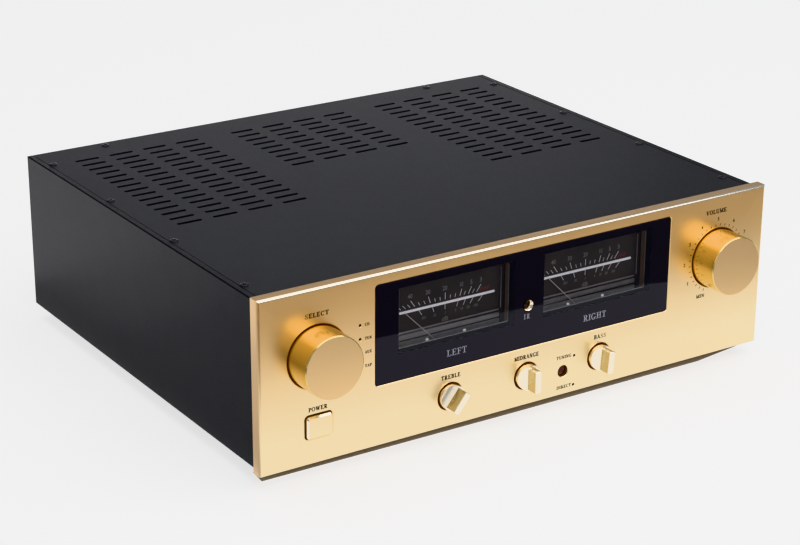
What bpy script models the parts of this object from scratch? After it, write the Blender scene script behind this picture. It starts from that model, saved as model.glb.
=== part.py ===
"""Integrated stereo amplifier with two dB meters, built as an assembly of separate parts.

Frame: X to the right seen from the front, Y to the back, Z up.  Every part hangs on one empty,
whose own origin is the middle of the front panel's lower edge, on the panel's front face.  The
lengths below are in that empty's frame, so y is the depth behind the panel's front face and z the
height above the panel's lower edge.  The empty is placed so that the world origin is the middle of
the whole object's footprint, on the surface that the feet stand on.
"""
import math

import bmesh
import bpy
from mathutils import Matrix, Vector

MM = 0.001
GAP = 0.3 * MM                      # clearance kept between neighbouring parts

# Front panel
PANEL_W = 430 * MM
PANEL_H = 125 * MM
PANEL_T = 9 * MM
PANEL_CHAMFER = 2.2 * MM

# Casing behind the panel
CASE_HALF_W = 212.5 * MM
CASE_TOP = 122.5 * MM
CASE_BOTTOM = 2 * MM
CASE_REAR = 359 * MM
SIDE_T = 4.7 * MM
SHEET_T = 1.5 * MM
CASE_FRONT = PANEL_T + GAP
INNER_HALF_W = CASE_HALF_W - SIDE_T - GAP
FLOOR_Z = CASE_BOTTOM + SHEET_T + GAP          # lowest place for the parts inside
REAR_PANEL_Y = CASE_REAR - 2 * MM              # front face of the rear panel
REAR_FACE_Y = REAR_PANEL_Y + SHEET_T           # its outer face

# Feet
FOOT_H = 10 * MM                    # from the resting surface to the panel's lower edge
FOOT_R = 22 * MM
FOOT_X = 165 * MM
FOOT_FRONT_Y = 58 * MM
FOOT_REAR_Y = 312 * MM

# Display window and meters
WINDOW_W = 251.4 * MM
WINDOW_H = 73 * MM
WINDOW_Z = 80.7 * MM                # height of its middle
WINDOW_R = 2.5 * MM
GLASS_T = 3 * MM
METER_X = 60.2 * MM
METER_W = 104 * MM
METER_H = 70 * MM
METER_Z = 80.8 * MM
METER_FRONT = GLASS_T + 2 * GAP
METER_REAR = 34 * MM
METER_WALL = 2 * MM
DIAL_Y = 14 * MM
DIAL_T = 1 * MM
NEEDLE_PIVOT_Z = 52.3 * MM
NEEDLE_L = 49 * MM
NEEDLE_REST = math.radians(-45)     # lean from upright, negative to the left
NEEDLE_Y = 12 * MM
IR_Z = 76 * MM
IR_BEZEL_R = 4.2 * MM

# Rotary controls
MAIN_KNOB_X = 170.5 * MM
MAIN_KNOB_Z = 76.8 * MM
MAIN_KNOB_R = 22.1 * MM
MAIN_KNOB_REACH = 22 * MM         # how far it stands out of the panel
MAIN_RECESS_R = 23 * MM
TONE_KNOB_X = 64.5 * MM
TONE_KNOB_Z = 22.6 * MM
TONE_DISC_R = 9.4 * MM
TONE_GRIP_R = 8.3 * MM
TONE_DISC_REACH = 2.3 * MM
TONE_GRIP_REACH = 14.7 * MM
TONE_SHOULDER_REACH = 5.5 * MM       # where the shoulder beside the bar grip starts
TONE_GRIP_W = 5.2 * MM
TONE_RECESS_R = 10.4 * MM
TONE_TURNS = {"treble": 38, "midrange": 0, "bass": 5}      # degrees clockwise at rest
RECESS_DEPTH = 5 * MM
KNOB_SINK = 2 * MM                  # how far a knob reaches into its recess
SHAFT_R = 3 * MM
BUSHING_R = 4.5 * MM

# Push buttons
POWER_X = -170 * MM
POWER_Z = 27.4 * MM
POWER_W = 21.5 * MM
POWER_H = 17.6 * MM
POWER_R = 3 * MM
POWER_REACH = 2.5 * MM
MODE_X = TONE_KNOB_X / 2
MODE_Z = 18.5 * MM
MODE_R = 4.4 * MM

# Indicator lights
SOURCE_LED_X = -137.5 * MM
SOURCE_LED_TOP_Z = 91.4 * MM
SOURCE_LED_PITCH = 9.9 * MM
SOURCES = 4
MODE_LED_X = 42 * MM
MODE_LED_Z = (28.4 * MM, 5.9 * MM)
LED_R = 0.6 * MM

# Ventilation slots in the cover
SLOT_L = 19.5 * MM
SLOT_W = 3.2 * MM
SLOT_PITCH_X = 28.5 * MM
SLOT_PITCH_Y = 11.8 * MM
SLOT_LAST_Y = 327 * MM
SLOT_COLUMNS = 4
SLOT_GROUPS = ((-134.5 * MM, 15), (0, 9), (134.5 * MM, 15))     # middle in x, rows

# Rear connectors
INLET_X = -160 * MM
INLET_Z = 44 * MM
JACKS_X = 128 * MM
JACKS_Z = 78 * MM
JACK_PITCH_X = 24 * MM
JACK_PITCH_Z = 20 * MM
POSTS_Z = 44 * MM
POST_PITCH = 26 * MM
CAP_R = 7 * MM
CAP_L = 15 * MM
COLLAR_END = REAR_FACE_Y + 7 * MM
REAR_REACH = COLLAR_END + GAP + CAP_L

FRAME_Y = -(REAR_REACH - MAIN_KNOB_REACH) / 2

TOWARDS_FRONT = (math.pi / 2, 0, 0)             # turns a part's own +Z to the front
TOWARDS_REAR = (-math.pi / 2, 0, 0)             # turns a part's own +Z to the back


def clear_scene():
    for obj in list(bpy.data.objects):
        bpy.data.objects.remove(obj)


clear_scene()
parts = bpy.data.collections.new("integrated_amplifier")
cutters = bpy.data.collections.new("cutters")
for group in (parts, cutters):
    bpy.context.scene.collection.children.link(group)
frame = bpy.data.objects.new("amplifier_frame", None)
frame.location = (0, FRAME_Y, FOOT_H)
parts.objects.link(frame)


# Materials

def material(name, colour, roughness, metallic=0.0, alpha=1.0):
    mat = bpy.data.materials.new(name)
    mat.use_nodes = True
    shader = mat.node_tree.nodes["Principled BSDF"]
    shader.inputs["Base Color"].default_value = (*colour, 1)
    shader.inputs["Roughness"].default_value = roughness
    shader.inputs["Metallic"].default_value = metallic
    shader.inputs["Alpha"].default_value = alpha
    mat.diffuse_color = (*colour, alpha)
    return mat


GOLD = material("gold_anodised", (0.76, 0.56, 0.30), 0.35, 1.0)
BLACK_METAL = material("black_paint", (0.03, 0.03, 0.035), 0.5)
STEEL = material("zinc_steel", (0.55, 0.56, 0.57), 0.4, 1.0)
GLASS = material("dark_glass", (0.02, 0.02, 0.03), 0.05, alpha=0.4)
DIAL_BLACK = material("dial_black", (0.03, 0.03, 0.03), 0.6)
WHITE = material("needle_white", (0.8, 0.78, 0.74), 0.5)
RUBBER = material("rubber_black", (0.02, 0.02, 0.02), 0.8)
PLASTIC = material("black_plastic", (0.03, 0.03, 0.03), 0.45)
BOARD = material("board_green", (0.03, 0.18, 0.08), 0.5)
HEATSINK = material("heatsink_black", (0.05, 0.05, 0.055), 0.4, 0.8)
WINDING = material("winding_film", (0.45, 0.24, 0.10), 0.35)
CAPACITOR = material("capacitor_sleeve", (0.03, 0.04, 0.12), 0.35)
RED_PLASTIC = material("red_plastic", (0.30, 0.02, 0.03), 0.3)


# Building blocks

def add_object(name, data, mat, location, rotation=(0, 0, 0)):
    obj = bpy.data.objects.new(name, data)
    if mat is not None:
        data.materials.append(mat)
    obj.location = location
    obj.rotation_euler = rotation
    obj.parent = frame
    parts.objects.link(obj)
    return obj


def as_cutter(obj):
    parts.objects.unlink(obj)
    cutters.objects.link(obj)
    obj.hide_render = True
    obj.display_type = "WIRE"
    return obj


def mesh_from(name, fill):
    bm = bmesh.new()
    fill(bm)
    mesh = bpy.data.meshes.new(name)
    bm.to_mesh(mesh)
    bm.free()
    return mesh


def smooth_round_faces(mesh, degrees=30):
    mesh.shade_smooth()
    mesh.set_sharp_from_angle(angle=math.radians(degrees))


def block_mesh(name, size):
    def fill(bm):
        bmesh.ops.create_cube(bm, size=1, matrix=Matrix.Diagonal((*size, 1)))
    return mesh_from(name, fill)


def prism_mesh(name, points, length):
    """A polygon of (x, z) points, extruded along Y to both sides."""
    def fill(bm):
        near = [bm.verts.new((x, -length / 2, z)) for x, z in points]
        far = [bm.verts.new((x, length / 2, z)) for x, z in points]
        bm.faces.new(near)
        bm.faces.new(far)
        for i, vert in enumerate(near):
            j = (i + 1) % len(near)
            bm.faces.new((vert, near[j], far[j], far[i]))
        bmesh.ops.recalc_face_normals(bm, faces=bm.faces)
    return mesh_from(name, fill)


def block(name, mat, low, high):
    """A box between two corners."""
    low = Vector(low)
    high = Vector(high)
    return add_object(name, block_mesh(name, high - low), mat, (low + high) / 2)


def rod(name, mat, radius, front, back, x, z, sides=24):
    """A straight cylinder along Y, between two depths."""
    def fill(bm):
        bmesh.ops.create_cone(bm, cap_ends=True, segments=sides, radius1=radius, radius2=radius,
                              depth=back - front)
    mesh = mesh_from(name, fill)
    smooth_round_faces(mesh)
    return add_object(name, mesh, mat, (x, (front + back) / 2, z), TOWARDS_FRONT)


def turned(name, mat, profile, location, rotation=(0, 0, 0), steps=32, closed=False):
    """A profile of (radius, height) points turned about the part's own Z axis."""
    def fill(bm):
        line = [bm.verts.new((radius, 0, height)) for radius, height in profile]
        ends = line[1:] + line[:1] if closed else line[1:]
        edges = [bm.edges.new(pair) for pair in zip(line, ends)]
        bmesh.ops.spin(bm, geom=line + edges, cent=(0, 0, 0), axis=(0, 0, 1), angle=2 * math.pi,
                       steps=steps, use_merge=True)
        bmesh.ops.remove_doubles(bm, verts=bm.verts, dist=0.00001)
        bmesh.ops.recalc_face_normals(bm, faces=bm.faces)
    mesh = mesh_from(name, fill)
    smooth_round_faces(mesh)
    return add_object(name, mesh, mat, location, rotation)


def rounded_outline(width, height, radius, corner_steps=4):
    """Corner points of a rounded rectangle around the origin."""
    points = []
    for corner in range(4):
        turn = corner * math.pi / 2
        side_x = 1 if corner in (0, 3) else -1
        side_y = 1 if corner in (0, 1) else -1
        middle = (side_x * (width / 2 - radius), side_y * (height / 2 - radius))
        for step in range(corner_steps + 1):
            angle = turn + step * math.pi / 2 / corner_steps
            points.append((middle[0] + radius * math.cos(angle), middle[1] + radius * math.sin(angle)))
    return points


def circle_outline(x, y, radius, sides=24):
    angles = [2 * math.pi * i / sides for i in range(sides)]
    return [(x + radius * math.cos(a), y + radius * math.sin(a)) for a in angles]


def moved(points, x, y):
    return [(px + x, py + y) for px, py in points]


def flat_plate(name, mat, outlines, thickness, location, rotation=(0, 0, 0)):
    """A plate cut from sheet: the first outline is its edge, the others are holes."""
    curve = bpy.data.curves.new(name, "CURVE")
    curve.dimensions = "2D"
    curve.fill_mode = "BOTH"
    curve.extrude = thickness / 2
    for points in outlines:
        spline = curve.splines.new("POLY")
        spline.points.add(len(points) - 1)
        for point, (x, y) in zip(spline.points, points):
            point.co = (x, y, 0, 1)
        spline.use_cyclic_u = True
    return add_object(name, curve, mat, location, rotation)


def to_mesh(curve_obj):
    """Turn a curve object into a welded mesh object of the same name and place."""
    bpy.context.view_layer.update()
    graph = bpy.context.evaluated_depsgraph_get()
    mesh = bpy.data.meshes.new_from_object(curve_obj.evaluated_get(graph))
    bm = bmesh.new()
    bm.from_mesh(mesh)
    bmesh.ops.remove_doubles(bm, verts=bm.verts, dist=0.00001)
    bmesh.ops.recalc_face_normals(bm, faces=bm.faces)
    bm.to_mesh(mesh)
    bm.free()
    name = curve_obj.name
    place = curve_obj.matrix_world.copy()
    bpy.data.objects.remove(curve_obj)
    obj = bpy.data.objects.new(name, mesh)
    obj.parent = frame
    parts.objects.link(obj)
    bpy.context.view_layer.update()
    obj.matrix_world = place
    return obj


def combine(target, other, operation):
    """Join or cut a part with another object, which becomes a hidden helper."""
    as_cutter(other)
    boolean = target.modifiers.new(operation.lower(), "BOOLEAN")
    boolean.operation = operation
    boolean.solver = "EXACT"
    boolean.object = other
    return target


def cut(target, *tools):
    for tool in tools:
        combine(target, tool, "DIFFERENCE")


def join(target, *others):
    for other in others:
        combine(target, other, "UNION")


def bevel_edges(mesh, wanted, width, segments=1):
    """Bevel the edges whose two end points both pass the test."""
    bm = bmesh.new()
    bm.from_mesh(mesh)
    edges = [e for e in bm.edges if all(wanted(v.co) for v in e.verts)]
    bmesh.ops.bevel(bm, geom=edges, offset=width, segments=segments, affect="EDGES", profile=0.5)
    bm.to_mesh(mesh)
    bm.free()


# Front: panel, window, sub-panel

def window_cutter(name, width, height, radius, front, back, x, z):
    plate = flat_plate(name, None, [rounded_outline(width, height, radius)], back - front,
                       (x, (front + back) / 2, z), TOWARDS_FRONT)
    return to_mesh(plate)


def rotary_places():
    """Middle of each rotary control: x, z and the radius of its recess."""
    places = [(side * MAIN_KNOB_X, MAIN_KNOB_Z, MAIN_RECESS_R) for side in (-1, 1)]
    places += [(place * TONE_KNOB_X, TONE_KNOB_Z, TONE_RECESS_R) for place in (-1, 0, 1)]
    return places


def led_places():
    places = [(SOURCE_LED_X, SOURCE_LED_TOP_Z - i * SOURCE_LED_PITCH) for i in range(SOURCES)]
    places += [(MODE_LED_X, z) for z in MODE_LED_Z]
    return places


def make_front_panel():
    mesh = block_mesh("front_panel", (PANEL_W, PANEL_T, PANEL_H))
    bevel_edges(mesh, lambda co: co.y < 0, PANEL_CHAMFER)
    panel = add_object("front_panel", mesh, GOLD, (0, PANEL_T / 2, PANEL_H / 2))
    over = 2 * MM
    cut(panel, window_cutter("window_hole", WINDOW_W, WINDOW_H, WINDOW_R, -over, PANEL_T + over,
                             0, WINDOW_Z))
    cut(panel, window_cutter("power_hole", POWER_W, POWER_H, POWER_R, -over, PANEL_T + over,
                             POWER_X, POWER_Z))
    for x, z, radius in rotary_places():
        cut(panel, rod("recess", None, radius, -over, RECESS_DEPTH, x, z, 48))
        cut(panel, rod("bushing_hole", None, BUSHING_R + GAP, -over, PANEL_T + over, x, z, 16))
    cut(panel, rod("mode_hole", None, MODE_R, -over, PANEL_T + over, MODE_X, MODE_Z, 24))
    for x, z in led_places():
        cut(panel, rod("led_hole", None, LED_R + GAP, -over, PANEL_T + over, x, z, 8))


def make_front_window():
    outline = rounded_outline(WINDOW_W - 2 * GAP, WINDOW_H - 2 * GAP, WINDOW_R - GAP)
    hole = circle_outline(0, IR_Z - WINDOW_Z, IR_BEZEL_R + GAP)
    flat_plate("front_window", GLASS, [outline, hole], GLASS_T,
               (0, GAP + GLASS_T / 2, WINDOW_Z), TOWARDS_FRONT)


def make_sub_panel():
    width = 2 * INNER_HALF_W - 2 * MM
    low = FLOOR_Z + 1 * MM
    high = CASE_TOP - SHEET_T - 1 * MM
    middle = (low + high) / 2
    outlines = [rounded_outline(width, high - low, 1 * MM, 2)]
    meters = rounded_outline(2 * (METER_X + METER_W / 2) + 1 * MM, METER_H + 1 * MM, 1 * MM, 2)
    outlines.append(moved(meters, 0, METER_Z - middle))
    outlines.append(moved(rounded_outline(9 * MM, 9 * MM, 1 * MM, 2), POWER_X, POWER_Z - middle))
    for x, z, _ in rotary_places():
        outlines.append(circle_outline(x, z - middle, BUSHING_R + GAP, 16))
    outlines.append(circle_outline(MODE_X, MODE_Z - middle, 2.5 * MM, 12))
    for x, z in led_places():
        outlines.append(circle_outline(x, z - middle, LED_R + GAP, 8))
    flat_plate("sub_panel", STEEL, outlines, 2 * MM, (0, CASE_FRONT + 1 * MM, middle), TOWARDS_FRONT)


# Casing

def slot_outlines(middle_y):
    """The cover's ventilation slots, long side across the case."""
    half_l = SLOT_L / 2
    half_w = SLOT_W / 2
    outlines = []
    for group_x, rows in SLOT_GROUPS:
        for column in range(SLOT_COLUMNS):
            x = group_x + (column - (SLOT_COLUMNS - 1) / 2) * SLOT_PITCH_X
            for row in range(rows):
                y = SLOT_LAST_Y - row * SLOT_PITCH_Y - middle_y
                outlines.append([(x - half_l, y - half_w), (x + half_l, y - half_w),
                                 (x + half_l, y + half_w), (x - half_l, y + half_w)])
    return outlines


def make_covers():
    middle_y = (CASE_FRONT + CASE_REAR) / 2
    depth = CASE_REAR - CASE_FRONT
    edge = [(-INNER_HALF_W, -depth / 2), (INNER_HALF_W, -depth / 2),
            (INNER_HALF_W, depth / 2), (-INNER_HALF_W, depth / 2)]
    flat_plate("top_cover", BLACK_METAL, [edge] + slot_outlines(middle_y), SHEET_T,
               (0, middle_y, CASE_TOP - SHEET_T / 2))
    block("bottom_plate", BLACK_METAL, (-INNER_HALF_W, CASE_FRONT, CASE_BOTTOM),
          (INNER_HALF_W, REAR_PANEL_Y - GAP, CASE_BOTTOM + SHEET_T))


def make_sides():
    rail_w = 10 * MM
    rail_h = 6 * MM
    rail_top = CASE_TOP - SHEET_T - GAP
    for name, side in (("left", -1), ("right", 1)):
        inner = side * (CASE_HALF_W - SIDE_T)
        outer = side * CASE_HALF_W
        block(name + "_side_plate", BLACK_METAL, (min(inner, outer), CASE_FRONT, CASE_BOTTOM),
              (max(inner, outer), CASE_REAR, CASE_TOP))
        rail_outer = side * INNER_HALF_W
        rail_inner = side * (INNER_HALF_W - rail_w)
        block(name + "_cover_rail", STEEL,
              (min(rail_inner, rail_outer), CASE_FRONT + 2.5 * MM, rail_top - rail_h),
              (max(rail_inner, rail_outer), REAR_PANEL_Y - GAP, rail_top))


def make_rear_panel():
    low = CASE_BOTTOM
    high = CASE_TOP - SHEET_T - GAP
    middle = (low + high) / 2
    outlines = [rounded_outline(2 * INNER_HALF_W, high - low, 0.5 * MM, 1)]
    inlet = rounded_outline(48 * MM, 28 * MM, 2 * MM, 2)
    outlines.append(moved(inlet, INLET_X, INLET_Z - middle))
    jacks = rounded_outline(100 * MM, 36 * MM, 2 * MM, 2)
    outlines.append(moved(jacks, JACKS_X, JACKS_Z - middle))
    posts = rounded_outline(92 * MM, 16 * MM, 2 * MM, 2)
    outlines.append(moved(posts, 0, POSTS_Z - middle))
    flat_plate("rear_panel", BLACK_METAL, outlines, SHEET_T,
               (0, REAR_PANEL_Y + SHEET_T / 2, middle), TOWARDS_FRONT)


def make_feet():
    top = FOOT_H + CASE_BOTTOM - GAP
    profile = [(0, top), (FOOT_R - 2 * MM, top), (FOOT_R, top - 2 * MM), (FOOT_R, 1.5 * MM),
               (FOOT_R - 1.5 * MM, 0), (0, 0)]
    for side, x in (("left", -FOOT_X), ("right", FOOT_X)):
        for end, y in (("front", FOOT_FRONT_Y), ("rear", FOOT_REAR_Y)):
            turned(end + "_" + side + "_foot", RUBBER, profile, (x, y, -FOOT_H), steps=24)


# Rotary controls: a knob on a shaft that turns in a fixed body behind the panel

def make_shaft(name, reach, x, z):
    """Shaft with its origin on the panel's front face, +Z to the front."""
    tail = -23.5 * MM
    profile = [(0, reach), (SHAFT_R, reach), (SHAFT_R, tail), (0, tail)]
    turned(name, STEEL, profile, (x, 0, z), TOWARDS_FRONT, steps=14)


def make_shaft_body(name, mat, radius, rear, x, z):
    """Body and threaded bushing with a blind bore for the shaft."""
    bore = SHAFT_R + GAP
    face = -(CASE_FRONT + 2 * MM + GAP)
    profile = [(bore, -6 * MM), (BUSHING_R, -6 * MM), (BUSHING_R, face), (radius, face),
               (radius, -rear), (0, -rear), (0, -24.5 * MM), (bore, -24.5 * MM)]
    turned(name, mat, profile, (x, 0, z), TOWARDS_FRONT, steps=16, closed=True)


def make_main_control(prefix, body, x):
    bore = SHAFT_R + GAP
    edge = 0.6 * MM
    socket = 16 * MM
    profile = [(0, MAIN_KNOB_REACH), (MAIN_KNOB_R - edge, MAIN_KNOB_REACH),
               (MAIN_KNOB_R, MAIN_KNOB_REACH - edge), (MAIN_KNOB_R, -KNOB_SINK),
               (bore, -KNOB_SINK), (bore, socket), (0, socket)]
    turned(prefix + "_knob", GOLD, profile, (x, 0, MAIN_KNOB_Z), TOWARDS_FRONT, steps=48)
    make_shaft(prefix + "_shaft", socket - GAP, x, MAIN_KNOB_Z)
    make_shaft_body(body, PLASTIC, 14 * MM, 32 * MM, x, MAIN_KNOB_Z)


def make_tone_control(prefix, x):
    """A round disc with a bar grip across it and sloping shoulders, turned to its rest angle."""
    bore = SHAFT_R + GAP
    socket = 1.5 * MM
    edge = 0.4 * MM
    profile = [(0, TONE_GRIP_REACH), (TONE_GRIP_R - edge, TONE_GRIP_REACH),
               (TONE_GRIP_R, TONE_GRIP_REACH - edge), (TONE_GRIP_R, TONE_DISC_REACH + edge),
               (TONE_DISC_R - edge, TONE_DISC_REACH), (TONE_DISC_R, TONE_DISC_REACH - edge),
               (TONE_DISC_R, -KNOB_SINK), (bore, -KNOB_SINK), (bore, socket), (0, socket)]
    knob = turned(prefix + "_knob", GOLD, profile, (x, 0, TONE_KNOB_Z), TOWARDS_FRONT, steps=36)
    turn = Matrix.Rotation(math.radians(TONE_TURNS[prefix]), 3, "Y") @ Matrix.Rotation(math.pi / 2, 3, "X")
    knob.rotation_euler = turn.to_euler()
    clear = 30 * MM
    outer = 14 * MM
    slope = (TONE_SHOULDER_REACH - TONE_DISC_REACH - 0.1 * MM) / (TONE_DISC_R - TONE_GRIP_W / 2)
    outer_reach = TONE_SHOULDER_REACH - slope * (outer - TONE_GRIP_W / 2)
    for side in (-1, 1):
        above_shoulder = [(side * TONE_GRIP_W / 2, TONE_SHOULDER_REACH), (side * outer, outer_reach),
                          (side * outer, clear), (side * TONE_GRIP_W / 2, clear)]
        tool = add_object("grip_side", prism_mesh("grip_side", above_shoulder, clear), None, (0, 0, 0))
        tool.parent = knob
        cut(knob, tool)
    make_shaft(prefix + "_shaft", socket - GAP, x, TONE_KNOB_Z)
    make_shaft_body(prefix + "_potentiometer", PLASTIC, 8.5 * MM, 28 * MM, x, TONE_KNOB_Z)


# Push buttons

def make_power_button():
    gap = 0.8 * MM
    back = 6 * MM
    body = window_cutter("power_button", POWER_W - 2 * gap, POWER_H - 2 * gap, POWER_R - gap,
                         -POWER_REACH, back, POWER_X, POWER_Z)
    body.data.materials.append(GOLD)
    stem = block("power_stem", None, (POWER_X - 3 * MM, back - 1 * MM, POWER_Z - 3 * MM),
                 (POWER_X + 3 * MM, 26 * MM, POWER_Z + 3 * MM))
    join(body, stem)
    case = block("power_switch", PLASTIC, (POWER_X - 10 * MM, 18 * MM, POWER_Z - 9 * MM),
                 (POWER_X + 10 * MM, 44 * MM, POWER_Z + 9 * MM))
    cut(case, block("power_socket", None, (POWER_X - 4 * MM, 10 * MM, POWER_Z - 4 * MM),
                    (POWER_X + 4 * MM, 34 * MM, POWER_Z + 4 * MM)))


def make_mode_button():
    profile = [(0, -2.5 * MM), (MODE_R - 1 * MM, -2.5 * MM), (MODE_R - 0.6 * MM, -3 * MM),
               (MODE_R - 0.6 * MM, -7 * MM), (1.5 * MM, -7 * MM), (1.5 * MM, -16 * MM), (0, -16 * MM)]
    turned("mode_button", RED_PLASTIC, profile, (MODE_X, 0, MODE_Z), TOWARDS_FRONT, steps=20)
    board = block("mode_switch_board", BOARD, (MODE_X - 7 * MM, 18 * MM, FLOOR_Z + 0.4 * MM),
                  (MODE_LED_X + 4 * MM, 19.6 * MM, 34 * MM))
    join(board, block("mode_switch_case", None, (MODE_X - 3.5 * MM, 14 * MM, MODE_Z - 3.5 * MM),
                      (MODE_X + 3.5 * MM, 18.4 * MM, MODE_Z + 3.5 * MM)))
    cut(board, rod("mode_stem_hole", None, 1.9 * MM, 10 * MM, 17.6 * MM, MODE_X, MODE_Z, 12))
    for z in MODE_LED_Z:
        join(board, rod("mode_led", None, LED_R, 0.4 * MM, 18.4 * MM, MODE_LED_X, z, 6))


def make_source_lights():
    front = CASE_FRONT + 2 * MM + GAP
    bottom = SOURCE_LED_TOP_Z - (SOURCES - 1) * SOURCE_LED_PITCH
    board = block("source_light_board", BOARD,
                  (SOURCE_LED_X - 4 * MM, front, bottom - 6 * MM),
                  (SOURCE_LED_X + 4 * MM, front + 1.6 * MM, SOURCE_LED_TOP_Z + 6 * MM))
    for x, z in led_places()[:SOURCES]:
        join(board, rod("source_led", None, LED_R, 0.4 * MM, front + 0.5 * MM, x, z, 6))


# Display: remote-control eye and the two meters

def make_remote_eye():
    """A countersunk ring around the receiver's window."""
    inner = 2.6 * MM
    profile = [(inner, -2 * MM), (IR_BEZEL_R - 0.5 * MM, 0.5 * MM), (IR_BEZEL_R, 0.2 * MM),
               (IR_BEZEL_R, -3 * MM), (inner, -3 * MM)]
    turned("remote_eye_bezel", GOLD, profile, (0, 0, IR_Z), TOWARDS_FRONT, steps=24, closed=True)
    eye = rod("remote_receiver", RED_PLASTIC, inner - GAP, 2.2 * MM, 8.2 * MM, 0, IR_Z, 16)
    join(eye, block("receiver_body", None, (-4 * MM, 8 * MM, IR_Z - 5 * MM),
                    (4 * MM, 13 * MM, IR_Z + 5 * MM)))


def make_meter(prefix, x):
    half_w = METER_W / 2
    low = METER_Z - METER_H / 2
    high = METER_Z + METER_H / 2
    housing = block(prefix + "_meter_housing", PLASTIC, (x - half_w, METER_FRONT, low),
                    (x + half_w, METER_REAR, high))
    cut(housing, block("meter_room", None,
                       (x - half_w + METER_WALL, METER_FRONT - 2 * MM, low + METER_WALL),
                       (x + half_w - METER_WALL, METER_REAR - METER_WALL, high - METER_WALL)))
    join(housing, block("meter_movement", None,
                        (x - 16 * MM, 23 * MM, low + METER_WALL / 2),
                        (x + 16 * MM, METER_REAR - METER_WALL / 2, NEEDLE_PIVOT_Z + 14 * MM)))
    outline = rounded_outline(METER_W - 2 * METER_WALL - 2 * GAP, METER_H - 2 * METER_WALL - 2 * GAP,
                              0.5 * MM, 1)
    hole = circle_outline(0, NEEDLE_PIVOT_Z - METER_Z, 1.8 * MM, 12)
    flat_plate(prefix + "_meter_dial", DIAL_BLACK, [outline, hole], DIAL_T,
               (x, DIAL_Y + DIAL_T / 2, METER_Z), TOWARDS_FRONT)
    make_needle(prefix + "_meter_needle", x)


def make_needle(name, x):
    """Needle with its origin on the pivot axis, leaning to its rest angle."""
    hub = 3.2 * MM
    pin = 1.3 * MM
    front = 1.2 * MM
    profile = [(0, front), (hub - 0.4 * MM, front), (hub, front - 0.4 * MM), (hub, -0.6 * MM),
               (pin, -0.6 * MM), (pin, -9 * MM), (0, -9 * MM)]
    needle = turned(name, WHITE, profile, (x, NEEDLE_Y, NEEDLE_PIVOT_Z), steps=16)
    turn = Matrix.Rotation(NEEDLE_REST, 3, "Y") @ Matrix.Rotation(math.pi / 2, 3, "X")
    needle.rotation_euler = turn.to_euler()
    blade = add_object("needle_blade", block_mesh("needle_blade", (0.9 * MM, NEEDLE_L, 0.6 * MM)),
                       None, (0, NEEDLE_L / 2, 0.3 * MM))
    tail = add_object("needle_tail", block_mesh("needle_tail", (2 * MM, 5.8 * MM, 0.6 * MM)),
                      None, (0, -1.1 * MM, 0.3 * MM))
    for piece in (blade, tail):
        piece.parent = needle
        join(needle, piece)


# Inside the case

def make_transformer():
    x = 0
    y = 115 * MM
    low = FLOOR_Z
    high = low + 62 * MM
    outer = 65 * MM
    inner = 21 * MM
    round_r = 12 * MM
    corners = ((outer, high, 0), (outer, low, -1), (inner, low, -2), (inner, high, -3))
    profile = []
    for radius, height, quarter in corners:
        toward_axis = -1 if radius == outer else 1
        toward_middle = -1 if height == high else 1
        middle = (radius + toward_axis * round_r, height + toward_middle * round_r)
        for step in range(3):
            angle = math.pi / 2 + quarter * math.pi / 2 - step * math.pi / 4
            profile.append((middle[0] + round_r * math.cos(angle), middle[1] + round_r * math.sin(angle)))
    turned("toroidal_transformer", WINDING, profile, (x, y, 0), steps=28, closed=True)
    top = high + GAP
    clamp = [(0, top + 8 * MM), (5 * MM, top + 8 * MM), (5 * MM, top + 2.5 * MM),
             (34 * MM, top + 2.5 * MM), (34 * MM, top), (4 * MM, top), (4 * MM, low), (0, low)]
    turned("transformer_clamp", STEEL, clamp, (x, y, 0), steps=20)


def make_heatsinks():
    """Extrusions with their fins towards the case sides, open at the top and bottom."""
    fins = 17
    length = 165 * MM
    fin_t = 2.6 * MM
    base = 6 * MM
    reach = 44 * MM
    height = 92 * MM
    pitch = (length - fin_t) / (fins - 1)
    first_y = SLOT_LAST_Y - length
    for name, side in (("left", -1), ("right", 1)):
        points = [(0, 0)]
        for fin in range(fins):
            y = fin * pitch
            if fin:
                points.append((side * base, y))
            points += [(side * reach, y), (side * reach, y + fin_t)]
            if fin < fins - 1:
                points.append((side * base, y + fin_t))
        points.append((0, length))
        flat_plate(name + "_heatsink", HEATSINK, [points], height,
                   (side * 114 * MM, first_y, FLOOR_Z + height / 2))


def make_board(name, low, high, blocks):
    """A circuit board on four posts, with its large soldered components."""
    thickness = 1.6 * MM
    level = FLOOR_Z + 8 * MM
    board = block(name, BOARD, (low[0], low[1], level), (high[0], high[1], level + thickness))
    inset = 5 * MM
    for x in (low[0] + inset, high[0] - inset):
        for y in (low[1] + inset, high[1] - inset):
            join(board, block("board_post", None, (x - 3 * MM, y - 3 * MM, FLOOR_Z),
                              (x + 3 * MM, y + 3 * MM, level + thickness / 2)))
    for block_low, block_high in blocks:
        join(board, block("component", None, (*block_low, level + thickness / 2),
                          (block_high[0], block_high[1], block_high[2])))


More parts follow.
